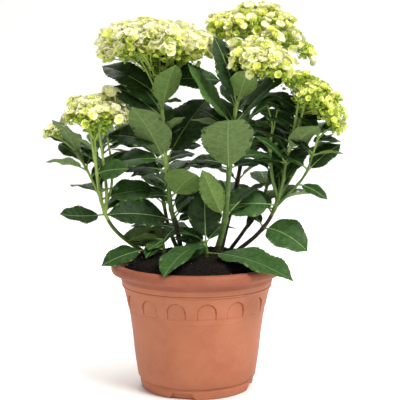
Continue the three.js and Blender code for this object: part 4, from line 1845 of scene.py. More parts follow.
class Scatter:
    """Sets a template on each of many points by Geometry Nodes, and makes one plain mesh of the result."""

    TREE = "template on points"
    INPUTS = {
        "Geometry": "NodeSocketGeometry",
        "Template": "NodeSocketObject",
        "Finish": "NodeSocketMaterial",
        "Foot finish": "NodeSocketMaterial",
        "Rim finish": "NodeSocketMaterial",
        "Seed": "NodeSocketInt",
        "Smallest": "NodeSocketFloat",
    }

    def __init__(self, name: str, template: Template, seed: int) -> None:
        """Starts an empty scatter.

        Args:
            name: The piece's name.
            template: The shape that is set on each point.
            seed: Seed of the random spin and size.
        """
        self.name = name
        self.template = template
        self.seed = seed
        self.places: list[Vector] = []
        self.ways: list[Vector] = []
        self.sizes: list[float] = []

    def add(self, place: Vector, way: Vector, size: float) -> None:
        """Adds a point with the way that the shape faces and its size."""
        self.places.append(place)
        self.ways.append(way)
        self.sizes.append(size)

    def _points(self) -> bpy.types.Object:
        """Returns the points as an object whose vertices carry their way and size.

        Returns:
            The object.
        """
        mesh = bpy.data.meshes.new(self.name)
        mesh.from_pydata([p * MM for p in self.places], [], [])
        way = mesh.attributes.new("way", "FLOAT_VECTOR", "POINT")
        way.data.foreach_set("vector", [c for w in self.ways for c in w])
        size = mesh.attributes.new("size", "FLOAT", "POINT")
        size.data.foreach_set("value", [s * MM for s in self.sizes])
        return add_object(self.name, mesh)

    @classmethod
    def _tree(cls) -> NodeTree:
        """Builds the node tree, or returns it where it is built already.

        Returns:
            The tree, with inputs for the template, the finishes, the seed and the smallest size.
        """
        made = bpy.data.node_groups.get(cls.TREE)
        if made:
            return made
        tree = bpy.data.node_groups.new(cls.TREE, "GeometryNodeTree")
        for name, kind in cls.INPUTS.items():
            tree.interface.new_socket(name=name, in_out="INPUT", socket_type=kind)
        tree.interface.new_socket(name="Geometry", in_out="OUTPUT", socket_type="NodeSocketGeometry")
        given = add_node(tree, "NodeGroupInput").outputs
        shape = add_node(tree, "GeometryNodeObjectInfo", inputs={"Object": given["Template"]})
        inputs = {"Vector": carried(tree, "way", "FLOAT_VECTOR")}
        facing = add_node(tree, "FunctionNodeAlignRotationToVector", {"axis": "Z"}, inputs)
        spin = drawn(tree, 0.0, 2 * math.pi, given["Seed"])
        turn = add_node(tree, "ShaderNodeCombineXYZ", inputs={"Z": spin})
        inputs = {"Rotation": facing.outputs["Rotation"], "Rotate By": turn.outputs["Vector"]}
        spun = add_node(tree, "FunctionNodeRotateRotation", {"rotation_space": "LOCAL"}, inputs)
        inputs = {0: carried(tree, "size", "FLOAT"), 1: drawn(tree, given["Smallest"], 1.0, given["Seed"])}
        scale = add_node(tree, "ShaderNodeMath", {"operation": "MULTIPLY"}, inputs)
        inputs = {
            "Points": given["Geometry"],
            "Instance": shape.outputs["Geometry"],
            "Rotation": spun.outputs["Rotation"],
            "Scale": scale.outputs["Value"],
        }
        placed = add_node(tree, "GeometryNodeInstanceOnPoints", inputs=inputs)
        inputs = {"Geometry": placed.outputs["Instances"]}
        real = add_node(tree, "GeometryNodeRealizeInstances", inputs=inputs)
        inputs = {"Geometry": real.outputs["Geometry"], "Material": given["Finish"]}
        result = add_node(tree, "GeometryNodeSetMaterial", inputs=inputs).outputs["Geometry"]
        for part in ("foot", "rim"):
            inputs = {
                "Geometry": result,
                "Selection": carried(tree, part, "BOOLEAN"),
                "Material": given[f"{part.capitalize()} finish"],
            }
            result = add_node(tree, "GeometryNodeSetMaterial", inputs=inputs).outputs["Geometry"]
        add_node(tree, "NodeGroupOutput", inputs={"Geometry": result})
        return tree

    def build(self, smallest: float) -> bpy.types.Object:
        """Makes the joined piece.

        Args:
            smallest: Share of its size that the smallest shape has.

        Returns:
            The piece, a plain mesh.
        """
        points = self._points()
        shape = add_object(self.template.name, self.template.mesh())
        tree = self._tree()
        modifier = points.modifiers.new(self.TREE, "NODES")
        modifier.node_group = tree
        foot, rim = self.template.ends or (self.template.finish, self.template.finish)
        values = {
            "Template": shape,
            "Finish": self.template.finish.value.material(),
            "Foot finish": foot.value.material(),
            "Rim finish": rim.value.material(),
            "Seed": self.seed,
            "Smallest": smallest,
        }
        for socket in tree.interface.items_tree:
            if socket.in_out == "INPUT" and socket.name in values:
                modifier[socket.identifier] = values[socket.name]
        graph = bpy.context.evaluated_depsgraph_get()
        mesh = bpy.data.meshes.new_from_object(points.evaluated_get(graph))
        points.modifiers.remove(modifier)
        mesh.name = self.name
        for name in ("way", "size", "foot", "rim"):
            if name in mesh.attributes:
                mesh.attributes.remove(mesh.attributes[name])
        points.data = mesh
        bpy.data.objects.remove(shape)
        return points


@dataclass
class Corymb:
    """The build of a flower head: rays from one hub, and on twigs of the rays tufts of florets and buds.

    Attributes:
        ray_reach: Share of the spread where a ray ends.
        ray_radius: Radius of a ray at the hub.
        ray_sink: How far back from the hub the rays start.
        ray_end: Share of a ray where its outermost twig leaves it.
        ray_step: Share of a ray between two twigs.
        twig_radius: Radius of a tuft's twig.
        stalk_radius: Radius of a floret's stalk.
        stalk_taper: Shares of its radius that a stalk has in its middle and at its end.
        stalk_bow: How far a stalk may bow, as a share of its length.
        tuft_size: Radius of a tuft over the tufts' own spacing.
        tuft_sizes: Smallest and largest tuft over the usual one.
        tuft_depth: How far below a tuft's centre it forks, as a share of its radius.
        tuft_span: Degrees from a tuft's axis to its lowest florets.
        spur_from: Share of a ray where the twig of a further tuft leaves it.
        large_from: The same for the stalk of a large floret.
        cover: Share of a tuft's dome that its florets cover.
        floret: Radius of a usual floret.
        floret_reach: Nearest and farthest floret from a tuft's fork, as shares of its radius.
        floret_spread: Smallest and largest floret over the usual one.
        floret_sizes: Length of a sepal, by kind.
        tier: Share of the way from a tuft's centre to its node where the greener tuft under it stands.
        tier_from: Shares of a ray between which the twig of that tuft leaves it.
        buds: Closed buds for each floret.
        bud_span: Degrees from a tuft's axis to its highest and lowest buds.
        bud_reach: Nearest and farthest bud from the fork, as shares of the tuft's radius.
        bud_sizes: Radius of the smallest and the largest bud of a tuft.
        sprigs: Budded twigs along a ray.
        sprig_span: Shares of a ray between which they leave it.
        sprig_length: Length of a budded twig.
        sprig_buds: Its closed buds.
        sprig_bud_sizes: Radius of the smallest and the largest of them.
    """

    ray_reach: float = 0.5
    ray_radius: float = 1.5
    ray_sink: float = 6.0
    ray_end: float = 0.95
    ray_step: float = 0.11
    twig_radius: float = 0.95
    stalk_radius: float = 0.5
    stalk_taper: tuple[float, float] = (0.85, 0.75)
    stalk_bow: float = 0.07
    tuft_size: float = 1.2
    tuft_sizes: tuple[float, float] = (0.78, 1.22)
    tuft_depth: float = 0.8
    tuft_span: float = 108.0
    spur_from: float = 0.75
    large_from: float = 0.8
    cover: float = 1.15
    floret: float = 5.6
    floret_reach: tuple[float, float] = (0.5, 0.82)
    floret_spread: tuple[float, float] = (0.85, 1.2)
    floret_sizes: dict[Bloom, float] = field(
        default_factory=lambda: {Bloom.CREAM: 11.2, Bloom.LEMON: 10.4, Bloom.LIME: 8.4}
    )
    tier: float = 0.4
    tier_from: tuple[float, float] = (0.2, 0.6)
    buds: float = 0.6
    bud_span: tuple[float, float] = (20.0, 125.0)
    bud_reach: tuple[float, float] = (0.45, 0.82)
    bud_sizes: tuple[float, float] = (1.3, 2.1)
    sprigs: int = 7
    sprig_span: tuple[float, float] = (0.12, 0.95)
    sprig_length: float = 9.0
    sprig_buds: int = 6
    sprig_bud_sizes: tuple[float, float] = (1.5, 2.6)


class LaidHead:
    """One flower head, laid out over its hub and added to the skin of the stalks and the scatters."""

    def __init__(
        self, build: Corymb, skin: Skin, course: Course, head: Head, kinds: dict[Bloom, Scatter], seed: int
    ) -> None:
        """Lays the head's hub, tilt and rays.

        Args:
            build: The build of the head.
            skin: The skin of the flower stalks.
            course: Course of the cane or shoot that bears it.
            head: The head of the table.
            kinds: The scatters of its florets and buds.
            seed: Seed of its growth.
        """
        self.build = build
        self.skin = skin
        self.head = head
        self.kinds = kinds
        self.numbers = SeededNumbers(seed)
        self.hub = course.point(1)
        self.root = course.point(1 - build.ray_sink / course.length)
        self.tilt = Quaternion(direction(head.lean[0] + 90, 0), math.radians(head.lean[1]))
        reach, rise = head.spread * build.ray_reach, head.height * build.ray_reach
        self.rays = [self.place(0, 0, rise)]
        self.rays += [self.place(reach, 360 * k / head.rays, rise * 0.8) for k in range(head.rays)]

    def place(self, reach: float, turn: float, rise: float) -> Vector:
        """Returns a place over the hub of the tilted head."""
        return self.tilt @ (direction(turn, 0) * reach + UP * rise) + self.hub

    def on_dome(self, share: float, turn: float, lift: float = 0.0) -> Vector:
        """Returns the place at a share of the spread on the head's dome, lifted off it.

        Args:
            share: Share of the spread.
            turn: Degrees round the head.
            lift: Height over the dome.

        Returns:
            The place.
        """
        rise = self.head.height * (1 - self.head.drop * share * share) + lift
        return self.place(self.head.spread * share, turn, rise)

    def nearest(self, centre: Vector) -> int:
        """Returns the number of the ray whose end is nearest."""
        return min(range(len(self.rays)), key=lambda k: (self.rays[k] - centre).length)

    def grow(self) -> None:
        """Adds the head, whose tufts stand where the rule of the solids puts its florets."""
        build, head, numbers = self.build, self.head, self.numbers
        for tip in self.rays:
            self._stalk(self.root, tip, build.ray_radius, 7)
            self._sprigs(tip)
        borne = [0] * len(self.rays)
        radius = build.tuft_size * head.spread / math.sqrt(head.florets)
        for i in range(head.florets):
            centre = self.on_dome(math.sqrt((i + 0.5) / head.florets), i * GOLDEN_ANGLE)
            ray = self.nearest(centre)
            node = self.root.lerp(self.rays[ray], build.ray_end - build.ray_step * borne[ray])
            borne[ray] += 1
            out = (centre - self.hub).normalized()
            size = radius * numbers.between(*build.tuft_sizes)
            centre = centre + out * radius * 0.2 * numbers.sway()
            self._tuft(node, centre, out, size, head.openness)
            low = centre.lerp(node, build.tier) - UP * size * 0.2
            deep = self.root.lerp(self.rays[ray], numbers.between(*build.tier_from))
            self._tuft(deep, low, out, size * head.under, 0.0)
        for turn, share, lift, size in head.spurs:
            centre = self.on_dome(share, turn, lift)
            fork = self.root.lerp(self.rays[self.nearest(centre)], build.spur_from)
            self._tuft(fork, centre, (centre - self.hub).normalized(), size, head.openness)
        for turn, share, lift, size in head.large:
            centre = self.on_dome(share, turn, lift)
            fork = self.root.lerp(self.rays[self.nearest(centre)], build.large_from)
            out = ((centre - self.hub).normalized() + UP * 0.25 - Vector((0, 0.2, 0))).normalized()
            self._stalk(fork, centre, build.stalk_radius * 1.4, 4)
            self.kinds[Bloom.CREAM].add(centre, out, size)

    def _tuft(self, node: Vector, centre: Vector, out: Vector, radius: float, openness: float) -> None:
        """Adds one tuft: its twig, and florets and buds spread over a small dome by the golden angle.

        Args:
            node: Where its twig leaves the ray.
            centre: The tuft's centre.
            out: The way out of the head.
            radius: The tuft's radius.
            openness: Share of its florets that are open.
        """
        build, numbers, fineness = self.build, self.numbers, self.head.fineness
        fork = centre - out * radius * build.tuft_depth
        self._stalk(node, fork, build.twig_radius, 5)
        axis = (out * 0.75 + UP * 0.5).normalized()
        across = axis.orthogonal().normalized()
        spread = radius / (build.floret * fineness)
        count = round(build.cover * (0.7 + 0.6 * openness) * 2 * spread**2)
        span = 1 - math.cos(math.radians(build.tuft_span))
        for j in range(count):
            low = (j + 0.5) / count
            polar = math.acos(1 - low * span) + math.radians(numbers.sway() * 7)
            turn = Quaternion(axis, math.radians(j * GOLDEN_ANGLE + numbers.sway() * 12))
            way = turn @ (Quaternion(across, polar) @ axis)
            place = fork + way * radius * numbers.between(*build.floret_reach)
            facing = way * 0.75 + UP * 0.55 + Vector([numbers.sway() * 0.22 for _ in range(3)])
            kind = self._kind(openness, low)
            size = build.floret_sizes[kind] * fineness * numbers.between(*build.floret_spread)
            self.kinds[kind].add(place, facing.normalized(), size)
            self._stalk(fork + way * radius * 0.08, place, build.stalk_radius, 3)
        for j in range(round(count * build.buds)):
            polar = math.radians(numbers.between(*build.bud_span))
            turn = Quaternion(axis, math.radians(j * GOLDEN_ANGLE + 70))
            way = turn @ (Quaternion(across, polar) @ axis)
            place = fork + way * radius * numbers.between(*build.bud_reach)
            self.kinds[Bloom.BUD].add(place, way, numbers.between(*build.bud_sizes))
            if j % 3 == 0:
                self._stalk(fork, place, build.stalk_radius * 0.8, 3)

    def _sprigs(self, tip: Vector) -> None:
        """Adds the short budded twigs that stand along the ray to a tip.

        Args:
            tip: Where the ray ends.
        """
        build, numbers = self.build, self.numbers
        along = (tip - self.root).normalized()
        for k in range(build.sprigs):
            node = self.root.lerp(tip, mix(*build.sprig_span, (k + numbers.draw()) / build.sprigs))
            way = (direction(k * GOLDEN_ANGLE + 90 * numbers.sway(), 10) + along * 0.7).normalized()
            fork = node + way * build.sprig_length * numbers.between(0.6, 1.2)
            self._stalk(node, fork, build.stalk_radius * 1.2, 4)
            for j in range(build.sprig_buds):
                out = (direction(j * GOLDEN_ANGLE, 20 + 50 * numbers.sway()) + way * 0.5).normalized()
                place = fork + out * build.sprig_length * 0.4
                self._stalk(fork, place, build.stalk_radius * 0.8, 3)
                self.kinds[Bloom.BUD].add(place, out, numbers.between(*build.sprig_bud_sizes))

    def _kind(self, openness: float, low: float) -> Bloom:
        """Returns the kind of a floret: cream where open, greener where young and low on its tuft.

        Args:
            openness: Share of the florets that are open.
            low: How low it stands, from 0 to 1.

        Returns:
            The kind.
        """
        if self.numbers.draw() < openness * (1.3 - low):
            return Bloom.CREAM
        is_older = self.numbers.draw() > (0.1 + 0.7 * low) * (1.6 - 1.2 * openness)
        return Bloom.LEMON if is_older else Bloom.LIME

    def _stalk(self, start: Vector, end: Vector, radius: float, sides: int) -> None:
        """Adds a slender stalk that bows a little.

        Args:
            start: Where it starts.
            end: Where it ends.
            radius: Its radius at its start.
            sides: Its sides.
        """
        way = end - start
        bow = way.length * self.build.stalk_bow * self.numbers.sway()
        middle = (start + end) / 2 + UP.cross(way).normalized() * bow - UP * abs(bow) * 0.6
        tangents = [(middle - start).normalized(), way.normalized(), (end - middle).normalized()]
        radii = [radius, *(radius * share for share in self.build.stalk_taper)]
        self.skin.tube(rings_along([start, middle, end], tangents, radii, sides), [Bloom.STALK] * 2)


@dataclass
class Pot:
    """Round tapered pot with a rolled lip, a collar and a frieze of arched niches.

    Attributes:
        columns: Columns of the mesh round the pot.
        fine_step: Greatest distance between two rows on the frieze and the foot.
        plain_step: The same everywhere else.
        frieze: Heights between which the frieze lies.
        foot: Heights between which the foot ring lies.
        niches: Niches of the frieze.
        niche_turn: Where the first niche stands, degrees about Z.
        niche_radius: Radius of a niche's round head.
        niche_foot: Height of a niche's foot.
        niche_leg: Height of its straight sides.
        niche_depth: Depth of a niche at its crown.
        rounding: Width over which the edge of a niche or a notch is rounded.
        notches: Drainage notches under the foot.
        notch_turn: Where the first notch stands.
        notch_width: Width of a notch at the ground.
        notch_slope: How far each of its sides leans in, up to its top.
        notch_height: Height of a notch.
        notch_depth: Depth of a notch.
        notch_from: Radius from which the underside is cut by it.
        crease: Width of the line of painted shade in a niche's edge.
        grooves: Heights between which a groove has painted shade.
        brim_shade_from: Height from which the plastic is darker, as painted shade.
        outer: Radius and height of the outside, from the underside's middle up and over the lip.
        inner: Radius and height of the inside, down to the floor's middle.
    """

    columns: int = 600
    fine_step: float = 1.0
    plain_step: float = 12.0
    frieze: tuple[float, float] = (103.0, 143.0)
    foot: tuple[float, float] = (1.5, 12.0)
    niches: int = 15
    niche_turn: float = -106.0
    niche_radius: float = 13.0
    niche_foot: float = 115.0
    niche_leg: float = 8.0
    niche_depth: float = 2.2
    rounding: float = 0.9
    notches: int = 4
    notch_turn: float = -104.5
    notch_width: float = 36.0
    notch_slope: float = 4.5
    notch_height: float = 9.0
    notch_depth: float = 4.0
    notch_from: float = 70.0
    crease: float = 1.5
    grooves: Profile = ((142.4, 143.5), (145.3, 146.8))
    brim_shade_from: float = 151.0
    outer: Profile = (
        (0, 0), (40, 0), (74, 0), (77, 0.4), (78.2, 1.6), (79.2, 5), (80, 9), (80.2, 11.5), (79.8, 13.4),
        (79.4, 14.6), (80.2, 15.6), (82.2, 16.6), (83.2, 18), (84.7, 29), (86.4, 40), (88, 52), (89.3, 65),
        (90.6, 78), (92.4, 91), (94, 103), (94.4, 105.6), (94.9, 106.2), (95.1, 107.4), (95.3, 110),
        (96, 113.4), (96.6, 114.4), (97, 115.2), (98.4, 122), (100, 130), (101.8, 138), (102.6, 141.4),
        (103, 142.6), (104.4, 143.4), (105, 144.4), (104.7, 145.4), (104.6, 146.4), (105.3, 147.2),
        (105.6, 148.4), (106.2, 153), (106.8, 158), (107.6, 160.2), (110, 161.2), (115.4, 161.6),
        (118, 162.6), (119.4, 164.6), (120, 167.4), (119.9, 170.6), (119.2, 173.4), (117.8, 175.2),
        (115.6, 176), (111.4, 176), (109, 175.4), (107.8, 174),
    )
    inner: Profile = (
        (106.8, 171), (104.4, 161), (102.2, 150), (98.4, 144), (94, 120), (85, 30), (82, 20), (70, 4),
        (0, 4),
    )

    def _rows(self) -> list[tuple[float, float, bool]]:
        """Returns the rows of the mesh, each with its radius, its height and whether it lies outside.

        Returns:
            The rows from the underside up, over the lip and down inside.
        """
        rows: list[tuple[float, float, bool]] = []
        for low, high in zip(self.outer, self.outer[1:]):
            is_frieze = low[1] >= self.frieze[0] and high[1] <= self.frieze[1]
            is_foot = self.foot[0] < high[1] <= self.foot[1]
            step = self.fine_step if is_frieze or is_foot else self.plain_step
            steps = max(1, math.ceil(math.dist(low, high) / step))
            for k in range(steps):
                rows.append((mix(low[0], high[0], k / steps), mix(low[1], high[1], k / steps), True))
        rows.append((*self.outer[-1], True))
        rows += [(radius, height, False) for radius, height in self.inner]
        return rows

    @staticmethod
    def _off_centre(turn: float, first: float, count: int, radius: float) -> float:
        """Returns how far round the pot a place is from the nearest of evenly spaced ones.

        Args:
            turn: Degrees round the pot.
            first: Where the first one stands.
            count: How many there are.
            radius: Radius of the place.

        Returns:
            The distance, less than 0 on its left.
        """
        step = 360 / count
        return math.radians((turn - first + step / 2) % step - step / 2) * radius

    def _off_niche(self, turn: float, radius: float, height: float) -> float:
        """Returns how far a place is from the middle of its niche, or from the centre of its round head.

        Args:
            turn: Degrees round the pot.
            radius: Radius there.
            height: Height there.

        Returns:
            The distance.
        """
        across = self._off_centre(turn, self.niche_turn, self.niches, radius)
        over = height - self.niche_foot - self.niche_leg
        return math.hypot(across, over) if over > 0 else abs(across)

    def _sunk(self, turn: float, radius: float, height: float) -> float:
        """Returns how deep the outside is sunk at a place, for the niches and the notches.

        Args:
            turn: Degrees round the pot.
            radius: Radius there.
            height: Height there.

        Returns:
            The depth.
        """
        depth = 0.0
        if height > self.niche_foot - 2:
            edge = self._off_niche(turn, radius, height)
            inside = 1 - smooth_step(self.niche_radius - self.rounding, self.niche_radius, edge)
            rise = min(1.0, max(0.0, (height - self.niche_foot + 1) / (self.niche_leg + self.niche_radius)))
            depth = inside * self.niche_depth * (0.25 + 0.75 * rise)
        if height <= self.notch_height + 1 and radius > self.notch_from:
            across = abs(self._off_centre(turn, self.notch_turn, self.notches, radius))
            half = self.notch_width / 2 - self.notch_slope * height / self.notch_height
            beside = smooth_step(half - self.rounding, half, across)
            above = smooth_step(self.notch_height - 0.6, self.notch_height + 0.4, height)
            depth = max(depth, (1 - beside) * (1 - above) * self.notch_depth)
        return depth

    def _finish(self, turn: float, radius: float, height: float) -> Earth:
        """Returns the outside's finish at a place: painted shade in grooves, niche edges and the brim.

        Args:
            turn: Degrees round the pot.
            radius: Radius there.
            height: Height there.

        Returns:
            The finish.
        """
        # Painted shade: the grooves and the edges of the niches are darker.
        if any(low < height < high for low, high in self.grooves):
            return Earth.CREASE
        inside = self.niche_radius - self._off_niche(turn, radius, height)
        if 0 < inside < self.crease and self.niche_foot - 1 < height < self.frieze[1] - 1:
            return Earth.CREASE
        # Painted shade: the plastic is darker from the brim up.
        return Earth.BRIM if height > self.brim_shade_from else Earth.POT

    def build(self) -> bpy.types.Object:
        """Makes the pot.

        Returns:
            The pot's object.
        """
        skin = Skin([Earth.POT, Earth.BRIM, Earth.CREASE])
        rows = self._rows()
        bottom = skin.add([Vector((0, 0, 0))])
        starts = []
        for radius, height, is_outer in rows[1:-1]:
            ring = []
            for k in range(self.columns):
                turn = 360 * k / self.columns
                sunk = self._sunk(turn, radius, height) if is_outer else 0.0
                ring.append(direction(turn, 0) * (radius - sunk) + UP * height)
            starts.append(skin.add(ring))
        floor = skin.add([Vector((0, 0, rows[-1][1]))])
        for k in range(self.columns):
            following = (k + 1) % self.columns
            skin.face((bottom, starts[0] + following, starts[0] + k), Earth.POT)
            skin.face((floor, starts[-1] + k, starts[-1] + following), Earth.POT)
            turn = 360 * (k + 0.5) / self.columns
            for low, high, row, above in zip(starts, starts[1:], rows[1:], rows[2:]):
                finish = self._finish(turn, row[0], (row[1] + above[1]) / 2) if row[2] else Earth.POT
                skin.face((low + k, low + following, high + following, high + k), finish)
        return skin.build("moulded_pot", 50)


@dataclass
class Soil:
    """Damp compost, heaped in the pot, with crumbs and pale grains on it.

    Attributes:
        top: Height of the heap.
        flat_radius: Radius of its flat middle.
        edge_radius: Radius where it meets the wall.
        edge_height: Height where it meets the wall.
        below: Radius and height of the rings that close it below.
        rings: Rings of the mesh.
        sides: Points of a ring.
        relief: Height of its lumps.
        crumbs: Number of crumbs.
        crumbs_out: Radius within which they lie.
        crumb_sizes: Radius of the smallest and the largest crumb.
        grains: Number of pale grains.
        grains_out: Radius within which they lie.
        grain_sizes: Radius of the smallest and the largest grain.
        grain_lift: How far a grain's middle stands over the surface.
    """

    top: float = 184.0
    flat_radius: float = 80.0
    edge_radius: float = 102.6
    edge_height: float = 164.0
    below: Profile = ((98.0, 150.0), (80.0, 30.0))
    rings: int = 46
    sides: int = 150
    relief: float = 2.4
    crumbs: int = 2600
    crumbs_out: float = 101.0
    crumb_sizes: tuple[float, float] = (0.8, 2.6)
    grains: int = 26
    grains_out: float = 98.0
    grain_sizes: tuple[float, float] = (0.9, 1.7)
    grain_lift: float = 0.8

    def surface(self, radius: float, turn: float) -> Vector:
        """Returns the place on the heap at a radius and a turn in degrees.

        Args:
            radius: Distance from the pot's axis.
            turn: Degrees round it.

        Returns:
            The place.
        """
        share = 1 - max(0.0, radius - self.flat_radius) / (self.edge_radius - self.flat_radius)
        height = mix(self.edge_height, self.top, math.sin(math.pi / 2 * max(0.0, min(1.0, share))))
        place = direction(turn, 0) * radius
        lump = noise.noise(place / 9) + 0.6 * noise.noise(place / 3.7)
        return place + UP * (height + self.relief * lump * 0.7 - 0.6)

    def build(self) -> list[bpy.types.Object]:
        """Makes the compost, its crumbs and its grains.

        Returns:
            The three objects.
        """
        skin = self._heap()
        numbers = SeededNumbers(5)
        crumbs = Scatter("compost_crumbs", ball("crumb", Earth.CRUMB, 0.7, 0.8), 3)
        for _ in range(self.crumbs):
            place = self._strewn(self.crumbs_out, numbers)
            way = Vector((numbers.sway(), numbers.sway(), 1.0)).normalized()
            crumbs.add(place, way, numbers.between(*self.crumb_sizes))
        grains = Scatter("pale_grains", ball("grain", Earth.GRAIN, 0.8, 0.7), 4)
        for _ in range(self.grains):
            place = self._strewn(self.grains_out, numbers)
            grains.add(place + UP * self.grain_lift, UP, numbers.between(*self.grain_sizes))
        return [skin.build("compost", 80), crumbs.build(0.5), grains.build(0.6)]

    def _strewn(self, out: float, numbers: SeededNumbers) -> Vector:
        """Returns a random place on the heap within a radius.

        Args:
            out: The radius.
            numbers: The seeded numbers.

        Returns:
            The place.
        """
        radius = out * math.sqrt(numbers.draw())
        return self.surface(radius, 360 * numbers.draw())

    def _heap(self) -> Skin:
        """Returns the skin of the compost itself, closed below.

        Returns:
            The skin.
        """
        skin = Skin([Earth.PEAT])
        middle = skin.add([self.surface(0, 0)])
        turns = [360 * k / self.sides for k in range(self.sides)]
        starts = []
        for r in range(1, self.rings + 1):
            radius = self.edge_radius * r / self.rings
            starts.append(skin.add([self.surface(radius, turn) for turn in turns]))
        for radius, height in self.below:
            starts.append(skin.add([direction(turn, 0) * radius + UP * height for turn in turns]))
        under = skin.add([UP * self.below[-1][1]])
        for k in range(self.sides):
            following = (k + 1) % self.sides
            skin.face((middle, starts[0] + k, starts[0] + following), Earth.PEAT)
            skin.face((under, starts[-1] + following, starts[-1] + k), Earth.PEAT)
            for low, high in zip(starts, starts[1:]):
                skin.face((low + following, low + k, high + k, high + following), Earth.PEAT)
        return skin


@dataclass(frozen=True)
class Lamp:
    """Soft square light that faces the plant.

    Attributes:
        name: What it does.
        place: Where it hangs, in metres.
        size: Its side, in metres.
        power: Its power in watts.
    """

    name: str
    place: tuple[float, float, float]
    size: float
    power: float

    def build(self) -> None:
        """Hangs the light."""
        data = bpy.data.lights.new(self.name, "AREA")
        data.size = self.size
        data.energy = self.power
        light = add_object(self.name, data)
        light.location = self.place
        way = Vector((0, 0, 0.25)) - Vector(self.place)
        light.rotation_euler = way.to_track_quat("-Z", "Y").to_euler()


@dataclass
class Studio:
    """Pale floor that sweeps up behind, soft light and the camera.

    Attributes:
        pitch: Degrees that the camera looks down.
        focal_pixels: Its focal length in pixels of the picture.
        picture: Width of the picture in pixels.
        sensor: Width of the camera's sensor.
        floor_radius: Half the floor's width.
        sweep: Radius of the curve in which the floor turns up.
        sweep_steps: Steps of that curve.
        sky: Strength of the light from all round.
        lamps: The lights.
    """

    pitch: float = 6.1
    focal_pixels: float = 915.0
    picture: int = 400
    sensor: float = 36.0
    floor_radius: float = 3500.0
    sweep: float = 900.0
    sweep_steps: int = 12
    sky: float = 0.42
    lamps: tuple[Lamp, ...] = (
        Lamp("key", (1.25, -1.3, 2.3), 1.0, 78.0),
        Lamp("fill", (-1.9, -1.3, 1.1), 1.6, 5.0),
        Lamp("top", (0.1, 0.5, 2.3), 1.6, 36.0),
        Lamp("rim", (-0.5, 1.3, 1.9), 0.9, 16.0),
    )

    def build(self) -> None:
        """Sets up the floor, the lights, the sky and the camera."""
        self._sweep()
        for lamp in self.lamps:
            lamp.build()
        world = bpy.data.worlds.new("soft white room")
        world.use_nodes = True
        inputs = world.node_tree.nodes["Background"].inputs
        inputs["Color"].default_value = (1, 1, 1, 1)
        inputs["Strength"].default_value = self.sky
        scene = bpy.context.scene
        scene.world = world
        scene.view_settings.view_transform = "Standard"
        data = bpy.data.cameras.new("front")
        data.sensor_width = self.sensor
        data.lens = self.focal_pixels / self.picture * self.sensor
        data.clip_end = 30.0
        camera = add_object("front", data)
        camera.location = EYE * MM
        camera.rotation_euler = (math.radians(90 - self.pitch), 0.0, 0.0)
        scene.camera = camera

    def _sweep(self) -> None:
        """Adds the floor, which curves up into a wall behind the plant."""
        half, foot = self.floor_radius, self.floor_radius * 0.5
        line = [(-half, 0.0), (foot, 0.0)]
        for k in range(1, self.sweep_steps + 1):
            angle = math.pi / 2 * k / self.sweep_steps
            line.append((foot + self.sweep * math.sin(angle), self.sweep * (1 - math.cos(angle))))
        line.append((foot + self.sweep, half))
        vertices = [Vector((side * half, y, z)) * MM for y, z in line for side in (-1, 1)]
        faces = [(2 * k, 2 * k + 1, 2 * k + 3, 2 * k + 2) for k in range(len(line) - 1)]
        mesh = smooth_mesh("floor", vertices, faces)
        mesh.materials.append(PAPER.material())
        add_object("floor", mesh)


